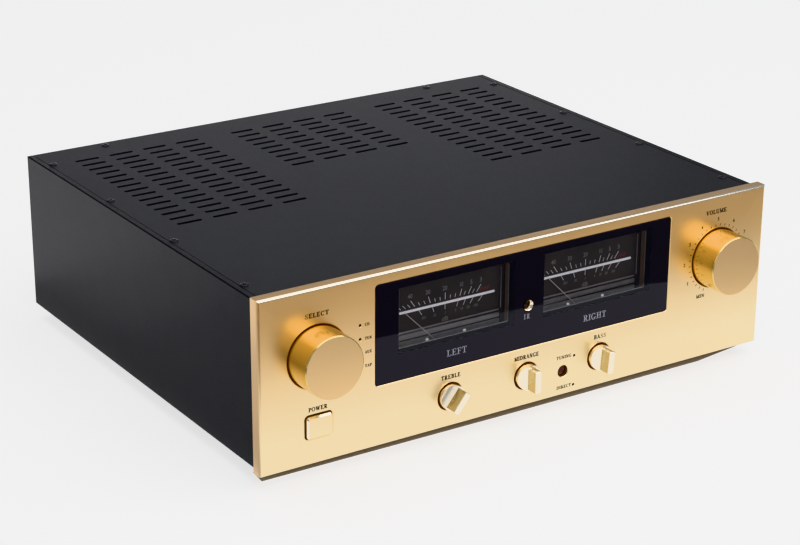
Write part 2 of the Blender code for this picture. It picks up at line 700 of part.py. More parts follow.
def make_boards():
    for name, side in (("left", -1), ("right", 1)):
        xs = sorted((side * 64 * MM, side * 113.4 * MM))
        tab = sorted((side * 108.4 * MM, side * 113.4 * MM))
        transistors = [((tab[0], y * MM), (tab[1], (y + 16) * MM, 40 * MM)) for y in (180, 215, 260, 295)]
        make_board(name + "_power_board", (xs[0], 166 * MM), (xs[1], 324 * MM), transistors)
    make_board("supply_board", (-56 * MM, 238 * MM), (56 * MM, 342 * MM),
               [((-12 * MM, 243 * MM), (12 * MM, 251 * MM, 36 * MM))])
    make_board("preamplifier_board", (90 * MM, 60 * MM), (190 * MM, 150 * MM),
               [((100 * MM, 75 * MM), (116 * MM, 91 * MM, 27 * MM)),
                ((130 * MM, 75 * MM), (146 * MM, 91 * MM, 27 * MM)),
                ((150 * MM, 110 * MM), (170 * MM, 130 * MM, 24 * MM))])
    for name, x in (("left", -29 * MM), ("right", 29 * MM)):
        radius = 24 * MM
        low = FLOOR_Z + 10 * MM
        high = low + 72 * MM
        profile = [(0, high), (radius - 1.5 * MM, high), (radius, high - 1.5 * MM), (radius, low), (0, low)]
        turned(name + "_filter_capacitor", CAPACITOR, profile, (x, 292 * MM, 0), steps=24)


# Rear connectors

def make_mains_inlet():
    flange_y = REAR_FACE_Y + GAP
    inlet = block("mains_inlet", PLASTIC, (INLET_X - 23 * MM, 336 * MM, INLET_Z - 13 * MM),
                  (INLET_X + 23 * MM, flange_y + 1 * MM, INLET_Z + 13 * MM))
    join(inlet, block("inlet_flange", None, (INLET_X - 26 * MM, flange_y, INLET_Z - 16 * MM),
                      (INLET_X + 26 * MM, flange_y + 3 * MM, INLET_Z + 16 * MM)))
    cut(inlet, window_cutter("inlet_room", 24.6 * MM, 16.6 * MM, 2 * MM, 343 * MM, 370 * MM,
                             INLET_X, INLET_Z))
    for x, z in ((-7, -2), (0, 2), (7, -2)):
        join(inlet, block("inlet_pin", None,
                          (INLET_X + (x - 1) * MM, 342 * MM, INLET_Z + (z - 2) * MM),
                          (INLET_X + (x + 1) * MM, 354 * MM, INLET_Z + (z + 2) * MM)))


def make_input_jacks():
    face = REAR_FACE_Y + GAP
    half_w = 49 * MM
    jacks = block("input_jack_block", PLASTIC, (JACKS_X - half_w, 346 * MM, JACKS_Z - 17 * MM),
                  (JACKS_X + half_w, face + 1 * MM, JACKS_Z + 17 * MM))
    join(jacks, block("jack_plate", None, (JACKS_X - half_w - 3 * MM, face, JACKS_Z - 20 * MM),
                      (JACKS_X + half_w + 3 * MM, face + 2 * MM, JACKS_Z + 20 * MM)))
    for column in range(4):
        x = JACKS_X + (column - 1.5) * JACK_PITCH_X
        for row in (-0.5, 0.5):
            z = JACKS_Z + row * JACK_PITCH_Z
            join(jacks, rod("jack_barrel", None, 4.2 * MM, face + 1 * MM, face + 10 * MM, x, z, 14))
            cut(jacks, rod("jack_bore", None, 1.7 * MM, face + 3 * MM, face + 14 * MM, x, z, 6))


def make_speaker_terminals():
    face = REAR_FACE_Y + GAP
    body = block("speaker_terminal_block", PLASTIC, (-45 * MM, 346 * MM, POSTS_Z - 7 * MM),
                 (45 * MM, face + 1 * MM, POSTS_Z + 7 * MM))
    join(body, block("post_plate", None, (-56 * MM, face, POSTS_Z - 14 * MM),
                     (56 * MM, face + 2.5 * MM, POSTS_Z + 14 * MM)))
    names = ("left_minus_terminal_cap", "left_plus_terminal_cap",
             "right_minus_terminal_cap", "right_plus_terminal_cap")
    bore = 2.8 * MM
    socket = 2.1 * MM
    for index, name in enumerate(names):
        x = (index - 1.5) * POST_PITCH
        join(body, rod("post_collar", None, 6.5 * MM, face + 1 * MM, COLLAR_END, x, POSTS_Z, 18))
        join(body, rod("post_stud", None, 2.4 * MM, face + 1 * MM, COLLAR_END + 10 * MM, x, POSTS_Z, 8))
        colour = RED_PLASTIC if "plus" in name else PLASTIC
        profile = [(socket, CAP_L), (CAP_R - 1 * MM, CAP_L), (CAP_R, CAP_L - 1 * MM), (CAP_R, 0),
                   (bore, 0), (bore, 11.5 * MM), (socket, 11.5 * MM)]
        turned(name, colour, profile, (x, COLLAR_END + GAP, POSTS_Z), TOWARDS_REAR, steps=18,
               closed=True)


def build():
    make_front_panel()
    make_front_window()
    make_sub_panel()
    make_covers()
    make_sides()
    make_rear_panel()
    make_feet()
    make_main_control("select", "select_switch", -MAIN_KNOB_X)
    make_main_control("volume", "volume_potentiometer", MAIN_KNOB_X)
    for prefix, place in (("treble", -1), ("midrange", 0), ("bass", 1)):
        make_tone_control(prefix, place * TONE_KNOB_X)
    make_power_button()
    make_mode_button()
    make_source_lights()
    make_remote_eye()
    make_meter("left", -METER_X)
    make_meter("right", METER_X)
    make_transformer()
    make_heatsinks()
    make_boards()
    make_mains_inlet()
    make_input_jacks()
    make_speaker_terminals()


build()
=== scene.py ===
"""Looks of the integrated amplifier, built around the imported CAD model.

Shapes are made in millimetres in a local frame that lies on one side of the case, with x to the
right and y up as that side is seen, and z out towards the viewer.
"""

import math

import bmesh
import bpy
from mathutils import Matrix, Vector


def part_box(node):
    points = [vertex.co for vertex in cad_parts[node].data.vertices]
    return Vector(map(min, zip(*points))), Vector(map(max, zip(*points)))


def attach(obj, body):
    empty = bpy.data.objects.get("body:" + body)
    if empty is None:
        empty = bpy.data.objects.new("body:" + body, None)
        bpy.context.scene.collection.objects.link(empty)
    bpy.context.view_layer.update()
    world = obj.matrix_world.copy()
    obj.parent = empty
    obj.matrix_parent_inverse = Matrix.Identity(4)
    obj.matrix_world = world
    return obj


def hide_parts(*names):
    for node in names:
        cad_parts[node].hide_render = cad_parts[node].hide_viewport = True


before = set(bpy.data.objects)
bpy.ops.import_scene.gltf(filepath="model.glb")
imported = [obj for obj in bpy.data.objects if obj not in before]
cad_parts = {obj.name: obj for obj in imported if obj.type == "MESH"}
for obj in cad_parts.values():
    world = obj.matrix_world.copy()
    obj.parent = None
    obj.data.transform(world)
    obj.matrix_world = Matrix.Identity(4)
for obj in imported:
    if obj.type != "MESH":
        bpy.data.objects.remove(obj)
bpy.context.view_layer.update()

MM = 0.001
IN_MM = Matrix.Scale(MM, 4)
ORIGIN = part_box("front_panel")[0].copy()        # middle of the lower edge of the panel's face
ORIGIN.x = 0


def mm_box(node):
    """A CAD node's lowest and highest corner: x, depth behind the panel face, height above its edge."""
    low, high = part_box(node)
    return (low - ORIGIN) / MM, (high - ORIGIN) / MM


def middle_of(node):
    low, high = mm_box(node)
    return (low + high) / 2


# Places: local frames on each side of the case, in millimetres

def at(x, depth, z):
    return Matrix.Translation(ORIGIN + Vector((x, depth, z)) * MM)


def turned(degrees, axis):
    return Matrix.Rotation(math.radians(degrees), 4, axis)


def on_front(x=0, z=0, turn=0):
    """turn is in degrees, clockwise as the front is seen."""
    return at(x, 0, z) @ turned(turn, "Y") @ turned(90, "X") @ IN_MM


def on_rear(x, z, depth):
    return at(x, depth, z) @ turned(180, "Z") @ turned(90, "X") @ IN_MM


def on_top():
    return at(0, 0, 0) @ IN_MM


def on_bottom(x=0, depth=0):
    return at(x, depth, 0) @ turned(180, "X") @ IN_MM


def add_object(name, data):
    obj = bpy.data.objects.new(name, data)
    bpy.context.scene.collection.objects.link(obj)
    return obj


# Outlines: functions of an offset, so that one outline can be followed by its own chamfer

def rounded(width, height, radius, x=0, y=0, corner_steps=8):
    def outline(offset=0.0):
        r = max(radius + offset, 0.01)
        points = []
        for corner, (side_x, side_y) in enumerate(((1, 1), (-1, 1), (-1, -1), (1, -1))):
            middle_x = x + side_x * (width / 2 + offset - r)
            middle_y = y + side_y * (height / 2 + offset - r)
            for step in range(corner_steps + 1):
                angle = (corner + step / corner_steps) * math.pi / 2
                points.append((middle_x + r * math.cos(angle), middle_y + r * math.sin(angle)))
        return points
    return outline


def circle(radius, x, y, steps):
    def outline(offset=0.0):
        angles = [2 * math.pi * i / steps for i in range(steps)]
        return [(x + (radius + offset) * math.cos(a), y + (radius + offset) * math.sin(a)) for a in angles]
    return outline


def bar_grip(radius, width):
    """A bar cut from a round: flat sides, ends on the circle."""
    arc_steps = 10

    def outline(offset=0.0):
        r = radius + offset
        half = math.asin((width / 2 + offset) / r)
        points = []
        for end in (0, math.pi):
            for step in range(arc_steps + 1):
                angle = math.pi / 2 - half + 2 * half * step / arc_steps + end
                points.append((r * math.cos(angle), r * math.sin(angle)))
        return points
    return outline


def cross(reach, width):
    r, w = reach, width / 2
    return [(r, -w), (r, w), (w, w), (w, r), (-w, r), (-w, w), (-r, w), (-r, -w), (-w, -w), (-w, -r),
            (w, -r), (w, -w)]


class Shell:
    """Closed faces gathered for one piece, in one local frame in millimetres."""

    def __init__(self, place):
        self.bm = bmesh.new()
        self.place = place

    def ring(self, points, z):
        return [self.bm.verts.new((x, y, z)) for x, y in points]

    def wall(self, first, second):
        for i, vert in enumerate(first):
            j = (i + 1) % len(first)
            self.bm.faces.new((vert, first[j], second[j], second[i]))

    def cap(self, *rings):
        edges = []
        for ring in rings:
            for i, vert in enumerate(ring):
                pair = (vert, ring[(i + 1) % len(ring)])
                edges.append(self.bm.edges.get(pair) or self.bm.edges.new(pair))
        bmesh.ops.triangle_fill(self.bm, use_beauty=True, use_dissolve=False, edges=edges)

    def stack(self, outline, layers, x=0, y=0):
        """Walls through rings at each (offset, z). Returns the first and last ring."""
        rings = []
        for offset, z in layers:
            rings.append(self.ring([(px + x, py + y) for px, py in outline(offset)], z))
        for first, second in zip(rings, rings[1:]):
            self.wall(first, second)
        return rings[0], rings[-1]

    def prism(self, outline, layers):
        for ring in self.stack(outline, layers):
            self.cap(ring)

    def pierced(self, *parts):
        """A plate with holes: (outline, layers) of the plate, and then of each hole."""
        backs, fronts = zip(*[self.stack(outline, layers) for outline, layers in parts])
        self.cap(*fronts)
        self.cap(*backs)

    def lathe(self, profile, steps, x=0, y=0, closed=False):
        """(radius, z) points turned about the local z axis."""
        rings = []
        for radius, z in profile:
            if radius < 1e-6:
                rings.append([self.bm.verts.new((x, y, z))])
            else:
                rings.append(self.ring(circle(radius, x, y, steps)(), z))
        pairs = list(zip(rings, rings[1:]))
        if closed:
            pairs.append((rings[-1], rings[0]))
        for first, second in pairs:
            tip, ring = sorted((first, second), key=len)
            if len(tip) > 1:
                self.wall(first, second)
            elif len(ring) > 1:
                for i, vert in enumerate(ring):
                    self.bm.faces.new((tip[0], vert, ring[(i + 1) % len(ring)]))

    def box(self, low, high, turn=0, chamfer=0.0):
        """A box between two corners, turned clockwise about its own middle."""
        width, height = high[0] - low[0], high[1] - low[1]
        middle = ((low[0] + high[0]) / 2, (low[1] + high[1]) / 2)
        c, s = math.cos(math.radians(-turn)), math.sin(math.radians(-turn))

        def outline(offset=0.0):
            w, h = width / 2 + offset, height / 2 + offset
            return [(middle[0] + c * px - s * py, middle[1] + s * px + c * py)
                    for px, py in ((w, h), (-w, h), (-w, -h), (w, -h))]
        layers = [(0, low[2]), (0, high[2])]
        if chamfer:
            layers = [(0, low[2]), (0, high[2] - chamfer), (-chamfer, high[2])]
        self.prism(outline, layers)

    def text(self, words, x, y, z, height, width=None):
        """Lettering with capitals of a given height, and stretched to a width if one is given."""
        curve = bpy.data.curves.new("words", "FONT")
        curve.body = words
        curve.extrude = 0.5
        curve.resolution_u = 3
        curve.offset = 0.018
        holder = add_object("words", curve)
        graph = bpy.context.evaluated_depsgraph_get()
        mesh = bpy.data.meshes.new_from_object(holder.evaluated_get(graph))
        xs = [v.co.x for v in mesh.vertices]
        scale_y = height / FONT_CAPITAL
        scale_x = scale_y * 0.92 if width is None else width / (max(xs) - min(xs))
        shift = (max(xs) + min(xs)) / 2
        local = (Matrix.Translation((x, y, z)) @ Matrix.Diagonal((scale_x, scale_y, LETTER_DEPTH, 1))
                 @ Matrix.Translation((-shift, -FONT_CAPITAL / 2, 0)))
        mesh.transform(local)
        self.bm.from_mesh(mesh)
        bpy.data.objects.remove(holder)
        bpy.data.curves.remove(curve)
        bpy.data.meshes.remove(mesh)

    def stroke(self, points, z):
        """A flat line through (x, y, width) points."""
        sides = ([], [])
        for i, (x, y, width) in enumerate(points):
            before, after = points[max(i - 1, 0)], points[min(i + 1, len(points) - 1)]
            along = Vector((after[0] - before[0], after[1] - before[1])).normalized()
            sides[0].append((x - along.y * width / 2, y + along.x * width / 2))
            sides[1].append((x + along.y * width / 2, y - along.x * width / 2))
        outline = sides[0] + sides[1][::-1]
        self.prism(lambda offset: outline, [(0, z), (0, z + LETTER_DEPTH)])

    def serif(self, words, x, y, z, height, width, align="CENTER", gap=0.12, weight=1.0):
        """Capitals with serifs, centred on y and stretched to a width."""
        pen = 0.0
        lines = []
        for letter in words:
            advance, strokes = LETTERS[letter]
            lines += [[(px + pen, py, w) for px, py, w in stroke] for stroke in strokes]
            pen += advance + gap
        pen -= gap
        stretch = width / pen
        start = {"CENTER": pen / 2, "LEFT": 0, "RIGHT": pen}[align]
        for points in lines:
            self.stroke([(x + (px - start) * stretch, y + (py - 0.5) * height, w * height * weight)
                         for px, py, w in points], z)

    def piece(self, name, material, body="amplifier", slot=None, smooth=32, stands_for=()):
        """Makes the shell one object of the model; smooth is the angle above which an edge is sharp."""
        bmesh.ops.remove_doubles(self.bm, verts=self.bm.verts, dist=1e-4)
        bmesh.ops.recalc_face_normals(self.bm, faces=self.bm.faces)
        self.bm.transform(self.place)
        mesh = bpy.data.meshes.new(name)
        self.bm.to_mesh(mesh)
        self.bm.free()
        mesh.materials.append(material)
        mesh.shade_smooth()
        mesh.set_sharp_from_angle(angle=math.radians(smooth))
        obj = add_object(name, mesh)
        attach(obj, body)
        if stands_for:
            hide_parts(*stands_for)
        return obj


FONT_CAPITAL = 0.729                 # height of a capital in the built-in font at size 1
LETTER_DEPTH = 0.04
INK_Z = 0.01                         # how far lettering stands off the face it is printed on


def repaint(obj, choose, *materials):
    """Adds materials, and gives each face the one whose number choose returns."""
    for material in materials:
        obj.data.materials.append(material)
    for face in obj.data.polygons:
        face.material_index = choose(face)


def digits_width(words, one):
    """The width of some digits when most are of one width, and 1 and the point are narrow."""
    return one * sum(0.42 if letter in "1." else 1.0 for letter in words)


# Serif capitals, drawn on a field 1 high as strokes of (x, y, width)

THICK, THIN = 0.26, 0.135
FOOT, HEAD = 0.035, 0.965            # height of the flat strokes at the foot and head of a letter


def stem(x, low=0.0, high=1.0, width=THICK, foot=True, head=True):
    strokes = [[(x, low, width), (x, high, width)]]
    for wanted, level in ((foot, low + THIN / 2), (head, high - THIN / 2)):
        if wanted:
            strokes.append([(x - width / 2 - 0.08, level, THIN), (x + width / 2 + 0.08, level, THIN)])
    return strokes


def line(x0, y0, x1, y1, width=THIN):
    return [[(x0, y0, width), (x1, y1, width)]]


def flat(x0, x1, y):
    return line(x0, y, x1, y)


def arc(x, y, rx, ry, start, end, steps=14):
    """Thick where it runs upright, thin where it lies flat."""
    points = []
    for i in range(steps + 1):
        angle = math.radians(start + (end - start) * i / steps)
        width = THIN + (THICK - THIN) * abs(math.cos(angle)) ** 1.5
        points.append((x + rx * math.cos(angle), y + ry * math.sin(angle), width))
    return [points]


SWASH = [[(0.57, 0.76, 0.06), (0.5, 0.92, 0.07), (0.34, 0.965, 0.08), (0.18, 0.9, 0.12),
          (0.13, 0.75, 0.15), (0.2, 0.62, 0.17), (0.35, 0.52, 0.18), (0.5, 0.42, 0.17),
          (0.56, 0.26, 0.15), (0.5, 0.1, 0.12), (0.34, 0.035, 0.08), (0.17, 0.08, 0.07),
          (0.1, 0.25, 0.06)]]
LETTERS = {
    "A": (0.76, line(0.12, 0, 0.38, 1) + line(0.38, 1, 0.64, 0, THICK) + flat(0.21, 0.55, 0.33)
          + flat(0.02, 0.24, THIN / 2) + flat(0.5, 0.76, THIN / 2)),
    "B": (0.68, stem(0.18) + arc(0.3, 0.74, 0.24, 0.225, -90, 90) + arc(0.3, 0.28, 0.29, 0.245, -90, 90)
          + flat(0.18, 0.31, HEAD) + flat(0.18, 0.32, 0.52) + flat(0.18, 0.31, FOOT)),
    "C": (0.72, arc(0.4, 0.5, 0.32, 0.465, 48, 312, 20) + line(0.64, 0.7, 0.64, 0.98)),
    "D": (0.78, stem(0.18) + arc(0.3, 0.5, 0.38, 0.465, -90, 90, 18) + flat(0.18, 0.31, HEAD)
          + flat(0.18, 0.31, FOOT)),
    "E": (0.66, stem(0.18) + flat(0.18, 0.58, HEAD) + flat(0.18, 0.44, 0.5)
          + flat(0.18, 0.6, FOOT) + line(0.57, 0.75, 0.57, 1) + line(0.6, 0, 0.6, 0.27)
          + line(0.44, 0.38, 0.44, 0.62)),
    "F": (0.62, stem(0.18) + flat(0.18, 0.58, HEAD) + flat(0.18, 0.44, 0.5)
          + line(0.57, 0.73, 0.57, 1) + line(0.44, 0.38, 0.44, 0.62)),
    "G": (0.78, arc(0.4, 0.5, 0.32, 0.465, 48, 300, 20) + line(0.64, 0.7, 0.64, 0.98)
          + stem(0.62, 0.04, 0.42, THICK, False)),
    "H": (0.82, stem(0.18) + stem(0.64) + flat(0.18, 0.64, 0.5)),
    "I": (0.34, stem(0.17)),
    "L": (0.64, stem(0.18) + flat(0.18, 0.6, FOOT) + line(0.6, 0, 0.6, 0.28)),
    "M": (0.96, stem(0.15, 0, 1, THIN, True, False) + stem(0.8, 0, 1, THICK) + flat(0.03, 0.2, HEAD)
          + line(0.15, 1, 0.46, 0.06, THICK) + line(0.46, 0.06, 0.8, 1)),
    "N": (0.82, stem(0.15, 0, 1, THIN, True, False) + stem(0.67, 0, 1, THIN, False)
          + line(0.15, 1, 0.67, 0, THICK) + flat(0.03, 0.2, HEAD)),
    "O": (0.78, arc(0.39, 0.5, 0.32, 0.465, 0, 360, 26)),
    "P": (0.62, stem(0.18) + arc(0.29, 0.725, 0.26, 0.24, -90, 90) + flat(0.18, 0.3, HEAD)
          + flat(0.18, 0.3, 0.485)),
    "R": (0.74, stem(0.18) + arc(0.29, 0.735, 0.25, 0.23, -90, 90) + flat(0.18, 0.3, HEAD)
          + flat(0.18, 0.3, 0.505) + line(0.34, 0.5, 0.64, 0.02, THICK)
          + flat(0.56, 0.76, THIN / 2)),
    "S": (0.66, SWASH + line(0.57, 0.74, 0.57, 0.98) + line(0.1, 0.02, 0.1, 0.27)),
    "T": (0.7, stem(0.35, 0, 1, THICK, True, False) + flat(0.05, 0.65, HEAD)
          + line(0.07, 0.72, 0.07, 1) + line(0.63, 0.72, 0.63, 1)),
    "U": (0.82, stem(0.18, 0.32, 1, THICK, False) + stem(0.66, 0.32, 1, THIN, False)
          + arc(0.42, 0.32, 0.24, 0.285, 180, 360)),
    "V": (0.76, line(0.13, 1, 0.39, 0, THICK) + line(0.64, 1, 0.39, 0) + flat(0, 0.27, HEAD)
          + flat(0.54, 0.76, HEAD)),
    "W": (1.04, line(0.12, 1, 0.34, 0, THICK) + line(0.34, 0, 0.53, 0.95) + line(0.51, 1, 0.72, 0, THICK)
          + line(0.72, 0, 0.93, 1) + flat(0, 0.25, HEAD) + flat(0.83, 1.04, HEAD)),
    "X": (0.76, line(0.13, 1, 0.62, 0, THICK) + line(0.62, 1, 0.14, 0) + flat(0.02, 0.26, HEAD)
          + flat(0.52, 0.74, HEAD) + flat(0.02, 0.26, FOOT) + flat(0.48, 0.76, FOOT)),
}


# Materials

def set_inputs(tree, node, values):
    """Sets inputs of a node, by name or number, or links them where the value is another's output."""
    for key, value in values.items():
        if isinstance(value, bpy.types.NodeSocket):
            tree.links.new(value, node.inputs[key])
        else:
            node.inputs[key].default_value = value
    return node


class Surface:
    """A Principled material whose colour, roughness and relief vary in object space."""

    def __init__(self, name, roughness=0.5, metallic=0.0, gloss=0.5, **sockets):
        self.material = bpy.data.materials.new(name)
        self.material.use_nodes = True
        self.tree = self.material.node_tree
        self.shader = self.tree.nodes["Principled BSDF"]
        self.shade({"Roughness": roughness, "Metallic": metallic, "Specular IOR Level": gloss})
        self.shade({socket.replace("_", " "): value for socket, value in sockets.items()})
        self.place = self.tree.nodes.new("ShaderNodeTexCoord").outputs["Object"]

    def shade(self, values):
        set_inputs(self.tree, self.shader, values)
        return self

    def node(self, kind, values):
        return set_inputs(self.tree, self.tree.nodes.new("ShaderNode" + kind), values)

    def noise(self, scale, detail, stretch=None):
        """A noise value between about 0.3 and 0.7; scale is in features per metre."""
        place = self.place
        if stretch:
            place = self.node("Mapping", {"Scale": stretch, "Vector": place}).outputs["Vector"]
        return self.node("TexNoise", {"Scale": scale, "Detail": detail, "Vector": place}).outputs["Fac"]

    def spread(self, value, low, high, start=0.3, end=0.7):
        limits = {"From Min": start, "From Max": end, "To Min": low, "To Max": high}
        return self.node("MapRange", {"Value": value, **limits}).outputs["Result"]

    def blend(self, value, first, second):
        """A colour between two colours or colour outputs."""
        ends = [(*colour, 1) if isinstance(colour, tuple) else colour for colour in (first, second)]
        node = self.tree.nodes.new("ShaderNodeMix")
        node.data_type = "RGBA"
        return set_inputs(self.tree, node, {"Factor": value, 6: ends[0], 7: ends[1]}).outputs[2]

    def colour(self, first, second, scale, detail=3.0, stretch=None):
        value = self.spread(self.noise(scale, detail, stretch), 0, 1)
        return self.shade({"Base Color": self.blend(value, first, second)})

    def shine(self, low, high, scale):
        return self.shade({"Roughness": self.spread(self.noise(scale, 2.0), low, high)})

    def relief(self, height_mm, scale, stretch=None):
        bump = self.node("Bump", {"Distance": height_mm * MM, "Height": self.noise(scale, 2.0, stretch)})
        return self.shade({"Normal": bump.outputs["Normal"]})


def finish(name, dark, light, scale, shine=None, relief=None, detail=3.0, stretch=None, **sockets):
    """Wavers between two colours. shine is (lowest, highest, scale) and relief (height, scale)."""
    surface = Surface(name, **sockets).colour(dark, light, scale, detail, stretch)
    if shine:
        surface.shine(*shine)
    if relief:
        surface.relief(*relief)
    return surface.material


def ink(name, dark, light, shine=(0.4, 0.5, 900)):
    return finish(name, dark, light, 300, shine, gloss=0.3)


PANEL_PAINTED_SHEEN_FROM, PANEL_PAINTED_SHEEN_TO = 0.108, 0.022        # heights above the panel's lower edge where the painted sheen starts and where it is full, in metres


def gold_surface(name, roughness, dim, pale=None, grain=0.004):
    """Anodised aluminium. With pale, the colour lightens towards the panel's lower edge: a painted sheen that
    stands in for the bright floor the lower face mirrors.
    """
    surface = Surface(name, metallic=1.0)
    cloud = surface.spread(surface.noise(9, 2), 0, 1)
    base = surface.blend(cloud, dim, tuple(c * 0.965 for c in dim))
    if pale:
        height = surface.node("SeparateXYZ", {0: surface.place}).outputs["Z"]
        height = surface.spread(height, 0, 1, ORIGIN.z + PANEL_PAINTED_SHEEN_FROM, ORIGIN.z + PANEL_PAINTED_SHEEN_TO)
        base = surface.blend(height, base, pale)
    surface.shade({"Base Color": base})
    return surface.shine(roughness - 0.02, roughness + 0.02, 900).relief(grain, 2600).material


# satin gold with a painted sheen that pales towards the panel's lower edge
GOLD_PANEL_PAINTED_SHEEN = gold_surface("gold_panel_satin_painted_sheen", 0.34, (1.0, 0.645, 0.3), (1.0, 0.82, 0.51))
# painted shade: a darker gold for the faces of the panel's rim
GOLD_RIM_PAINTED_SHADE = gold_surface("gold_panel_rim_painted_shade", 0.32, (0.92, 0.64, 0.37), grain=0.0008)
# a pale gold for polished cut edges, whose paleness is a painted highlight
GOLD_CUT_PAINTED_GLINT = gold_surface("gold_cut_edge_painted_glint", 0.13, (1.0, 0.91, 0.75))
GOLD_KNOB = gold_surface("gold_knob_satin", 0.21, (0.8, 0.6, 0.26))
GOLD_FLANK = gold_surface("gold_grip_flank", 0.24, (0.68, 0.58, 0.36))
GOLD_FACE = gold_surface("gold_knob_face", 0.36, (0.97, 0.665, 0.345))
GOLD_PALE = gold_surface("gold_polished", 0.2, (1.0, 0.89, 0.7))
PAINT_TINT = (0.93, 0.93, 1.0, 1)
BLACK_PAINT = finish("black_powder_coat", (0.0125, 0.013, 0.0155), (0.016, 0.0165, 0.019), 60,
    (0.4, 0.5, 1500), (0.012, 1700), gloss=0.52, Specular_Tint=PAINT_TINT)
# painted shade: a darker black for the seams between the cover and the side plates
SEAM_SHADE = finish("seam_painted_shade", (0.004, 0.004, 0.005), (0.006, 0.006, 0.007), 90, (0.6, 0.7, 400),
    gloss=0.15)
SIDE_PAINT = finish("black_side_paint", (0.012, 0.0125, 0.015), (0.0155, 0.016, 0.0185), 60,
    (0.34, 0.44, 1500), (0.01, 1700), gloss=0.37, Specular_Tint=PAINT_TINT)
STEEL = finish("zinc_plated_steel", (0.52, 0.53, 0.55), (0.6, 0.6, 0.6), 90, (0.3, 0.42, 400),
    metallic=1.0)
SCREW = finish("blackened_screw", (0.05, 0.05, 0.055), (0.08, 0.08, 0.085), 600, (0.25, 0.38, 900),
    metallic=0.7)
PRINT_BLACK = finish("glass_back_print", (0.0026, 0.0019, 0.0036), (0.0034, 0.0025, 0.0045), 40,
    (0.3, 0.4, 300), gloss=0.2)
DIAL = finish("dial_face", (0.078, 0.07, 0.064), (0.096, 0.084, 0.074), 70, (0.55, 0.65, 900),
    (0.004, 2500), gloss=0.3)
DULL = (0.5, 0.6, 900)
DIAL_INK = ink("dial_ink", (0.8, 0.77, 0.79), (0.86, 0.83, 0.85), DULL)
# the scale bar's emission is a painted glow that makes up for the dim light inside the meter
SCALE_BAR_GLOW = finish("scale_bar_painted_glow", (0.8, 0.77, 0.79), (0.86, 0.83, 0.85), 300, DULL, gloss=0.3,
    Emission_Color=(0.86, 0.83, 0.88, 1), Emission_Strength=0.24)
# nickel screw heads whose emission is a painted glint
DIAL_SCREW_GLINT = finish("dial_screw_nickel_painted_glint", (0.88, 0.86, 0.85), (0.93, 0.91, 0.9), 300,
    (0.14, 0.2, 900), metallic=1.0, Emission_Color=(1, 0.97, 0.95, 1), Emission_Strength=0.35)
DIAL_INK_DIM = ink("dial_ink_dim", (0.25, 0.235, 0.23), (0.3, 0.28, 0.27), DULL)
DIAL_INK_RED = ink("dial_ink_red", (0.4, 0.06, 0.06), (0.48, 0.09, 0.08), DULL)
RIB = finish("movement_cover", (0.33, 0.31, 0.31), (0.42, 0.385, 0.37), 90, (0.3, 0.42, 500))
TRIM = finish("window_trim", (0.42, 0.41, 0.42), (0.5, 0.49, 0.49), 200, (0.35, 0.45, 500), gloss=0.4)
# brown housing wall with a faint warm painted glow
LINING_GLOW = finish("housing_lining_painted_glow", (0.22, 0.17, 0.12), (0.27, 0.21, 0.15), 120, (0.4, 0.5, 500),
    gloss=0.4, Emission_Color=(1, 0.78, 0.55, 1), Emission_Strength=0.025)
NEEDLE = finish("needle_lacquer", (0.6, 0.5, 0.5), (0.7, 0.58, 0.57), 200, (0.35, 0.45, 900))
GLASS_INK = ink("glass_lettering", (0.3, 0.3, 0.36), (0.36, 0.36, 0.42))
PANEL_INK = ink("panel_lettering", (0.01, 0.004, 0.003), (0.016, 0.007, 0.005))
# painted shade: a dark reddish brown for the gap around each knob
RECESS_SHADE = finish("recess_painted_shade", (0.1, 0.022, 0.008), (0.15, 0.035, 0.012), 700, (0.8, 0.9, 900),
    gloss=0.2)
MAROON = finish("maroon_button", (0.05, 0.004, 0.006), (0.075, 0.008, 0.01), 300, (0.18, 0.26, 900))
EYE_DARK = finish("receiver_window", (0.006, 0.002, 0.002), (0.012, 0.003, 0.003), 300,
    (0.15, 0.22, 900))
RUBBER = finish("foot_rubber", (0.012, 0.012, 0.012), (0.02, 0.02, 0.02), 300, (0.7, 0.85, 700),
    (0.02, 1500))
PLASTIC = finish("moulded_black_plastic", (0.018, 0.018, 0.019), (0.026, 0.026, 0.027), 200,
    (0.38, 0.5, 700), (0.008, 2200))
RED_PLASTIC = finish("moulded_red_plastic", (0.36, 0.012, 0.014), (0.44, 0.02, 0.02), 200,
    (0.25, 0.35, 700))
WHITE_PLASTIC = finish("moulded_white_plastic", (0.7, 0.69, 0.66), (0.78, 0.77, 0.74), 200,
    (0.3, 0.4, 700))
REAR_INK = finish("rear_lettering", (0.62, 0.62, 0.62), (0.7, 0.7, 0.7), 300, (0.45, 0.55, 900))
BOARD = finish("circuit_board", (0.015, 0.09, 0.04), (0.03, 0.15, 0.065), 160, (0.3, 0.55, 250),
    detail=6.0)
HEATSINK = finish("anodised_heatsink", (0.03, 0.03, 0.033), (0.045, 0.045, 0.05), 120, (0.35, 0.5, 500),
    metallic=0.6)
WINDING = finish("wound_film", (0.34, 0.17, 0.07), (0.48, 0.26, 0.11), 60, (0.25, 0.4, 300),
    (0.2, 120, (1, 1, 6)), detail=4.0, stretch=(1, 1, 12))
SLEEVE = finish("capacitor_film", (0.02, 0.028, 0.09), (0.03, 0.04, 0.12), 120, (0.25, 0.35, 500))


def pane(name, mirrors):
    """Glass that light goes straight through; with mirrors, its outer face mirrors by its Fresnel share."""
    surface = Surface(name, 0.02, 1.0).colour((0.9, 0.92, 1.0), (0.93, 0.95, 1.0), 30)
    clear = surface.node("BsdfTransparent", {"Color": (0.97, 0.97, 0.98, 1)}).outputs[0]
    share = surface.node("Fresnel", {"IOR": 1.5}).outputs[0] if mirrors else 0
    mix = surface.node("MixShader", {0: share, 1: clear, 2: surface.shader.outputs[0]}).outputs[0]
    set_inputs(surface.tree, surface.tree.nodes["Material Output"], {"Surface": mix})
    return surface.material


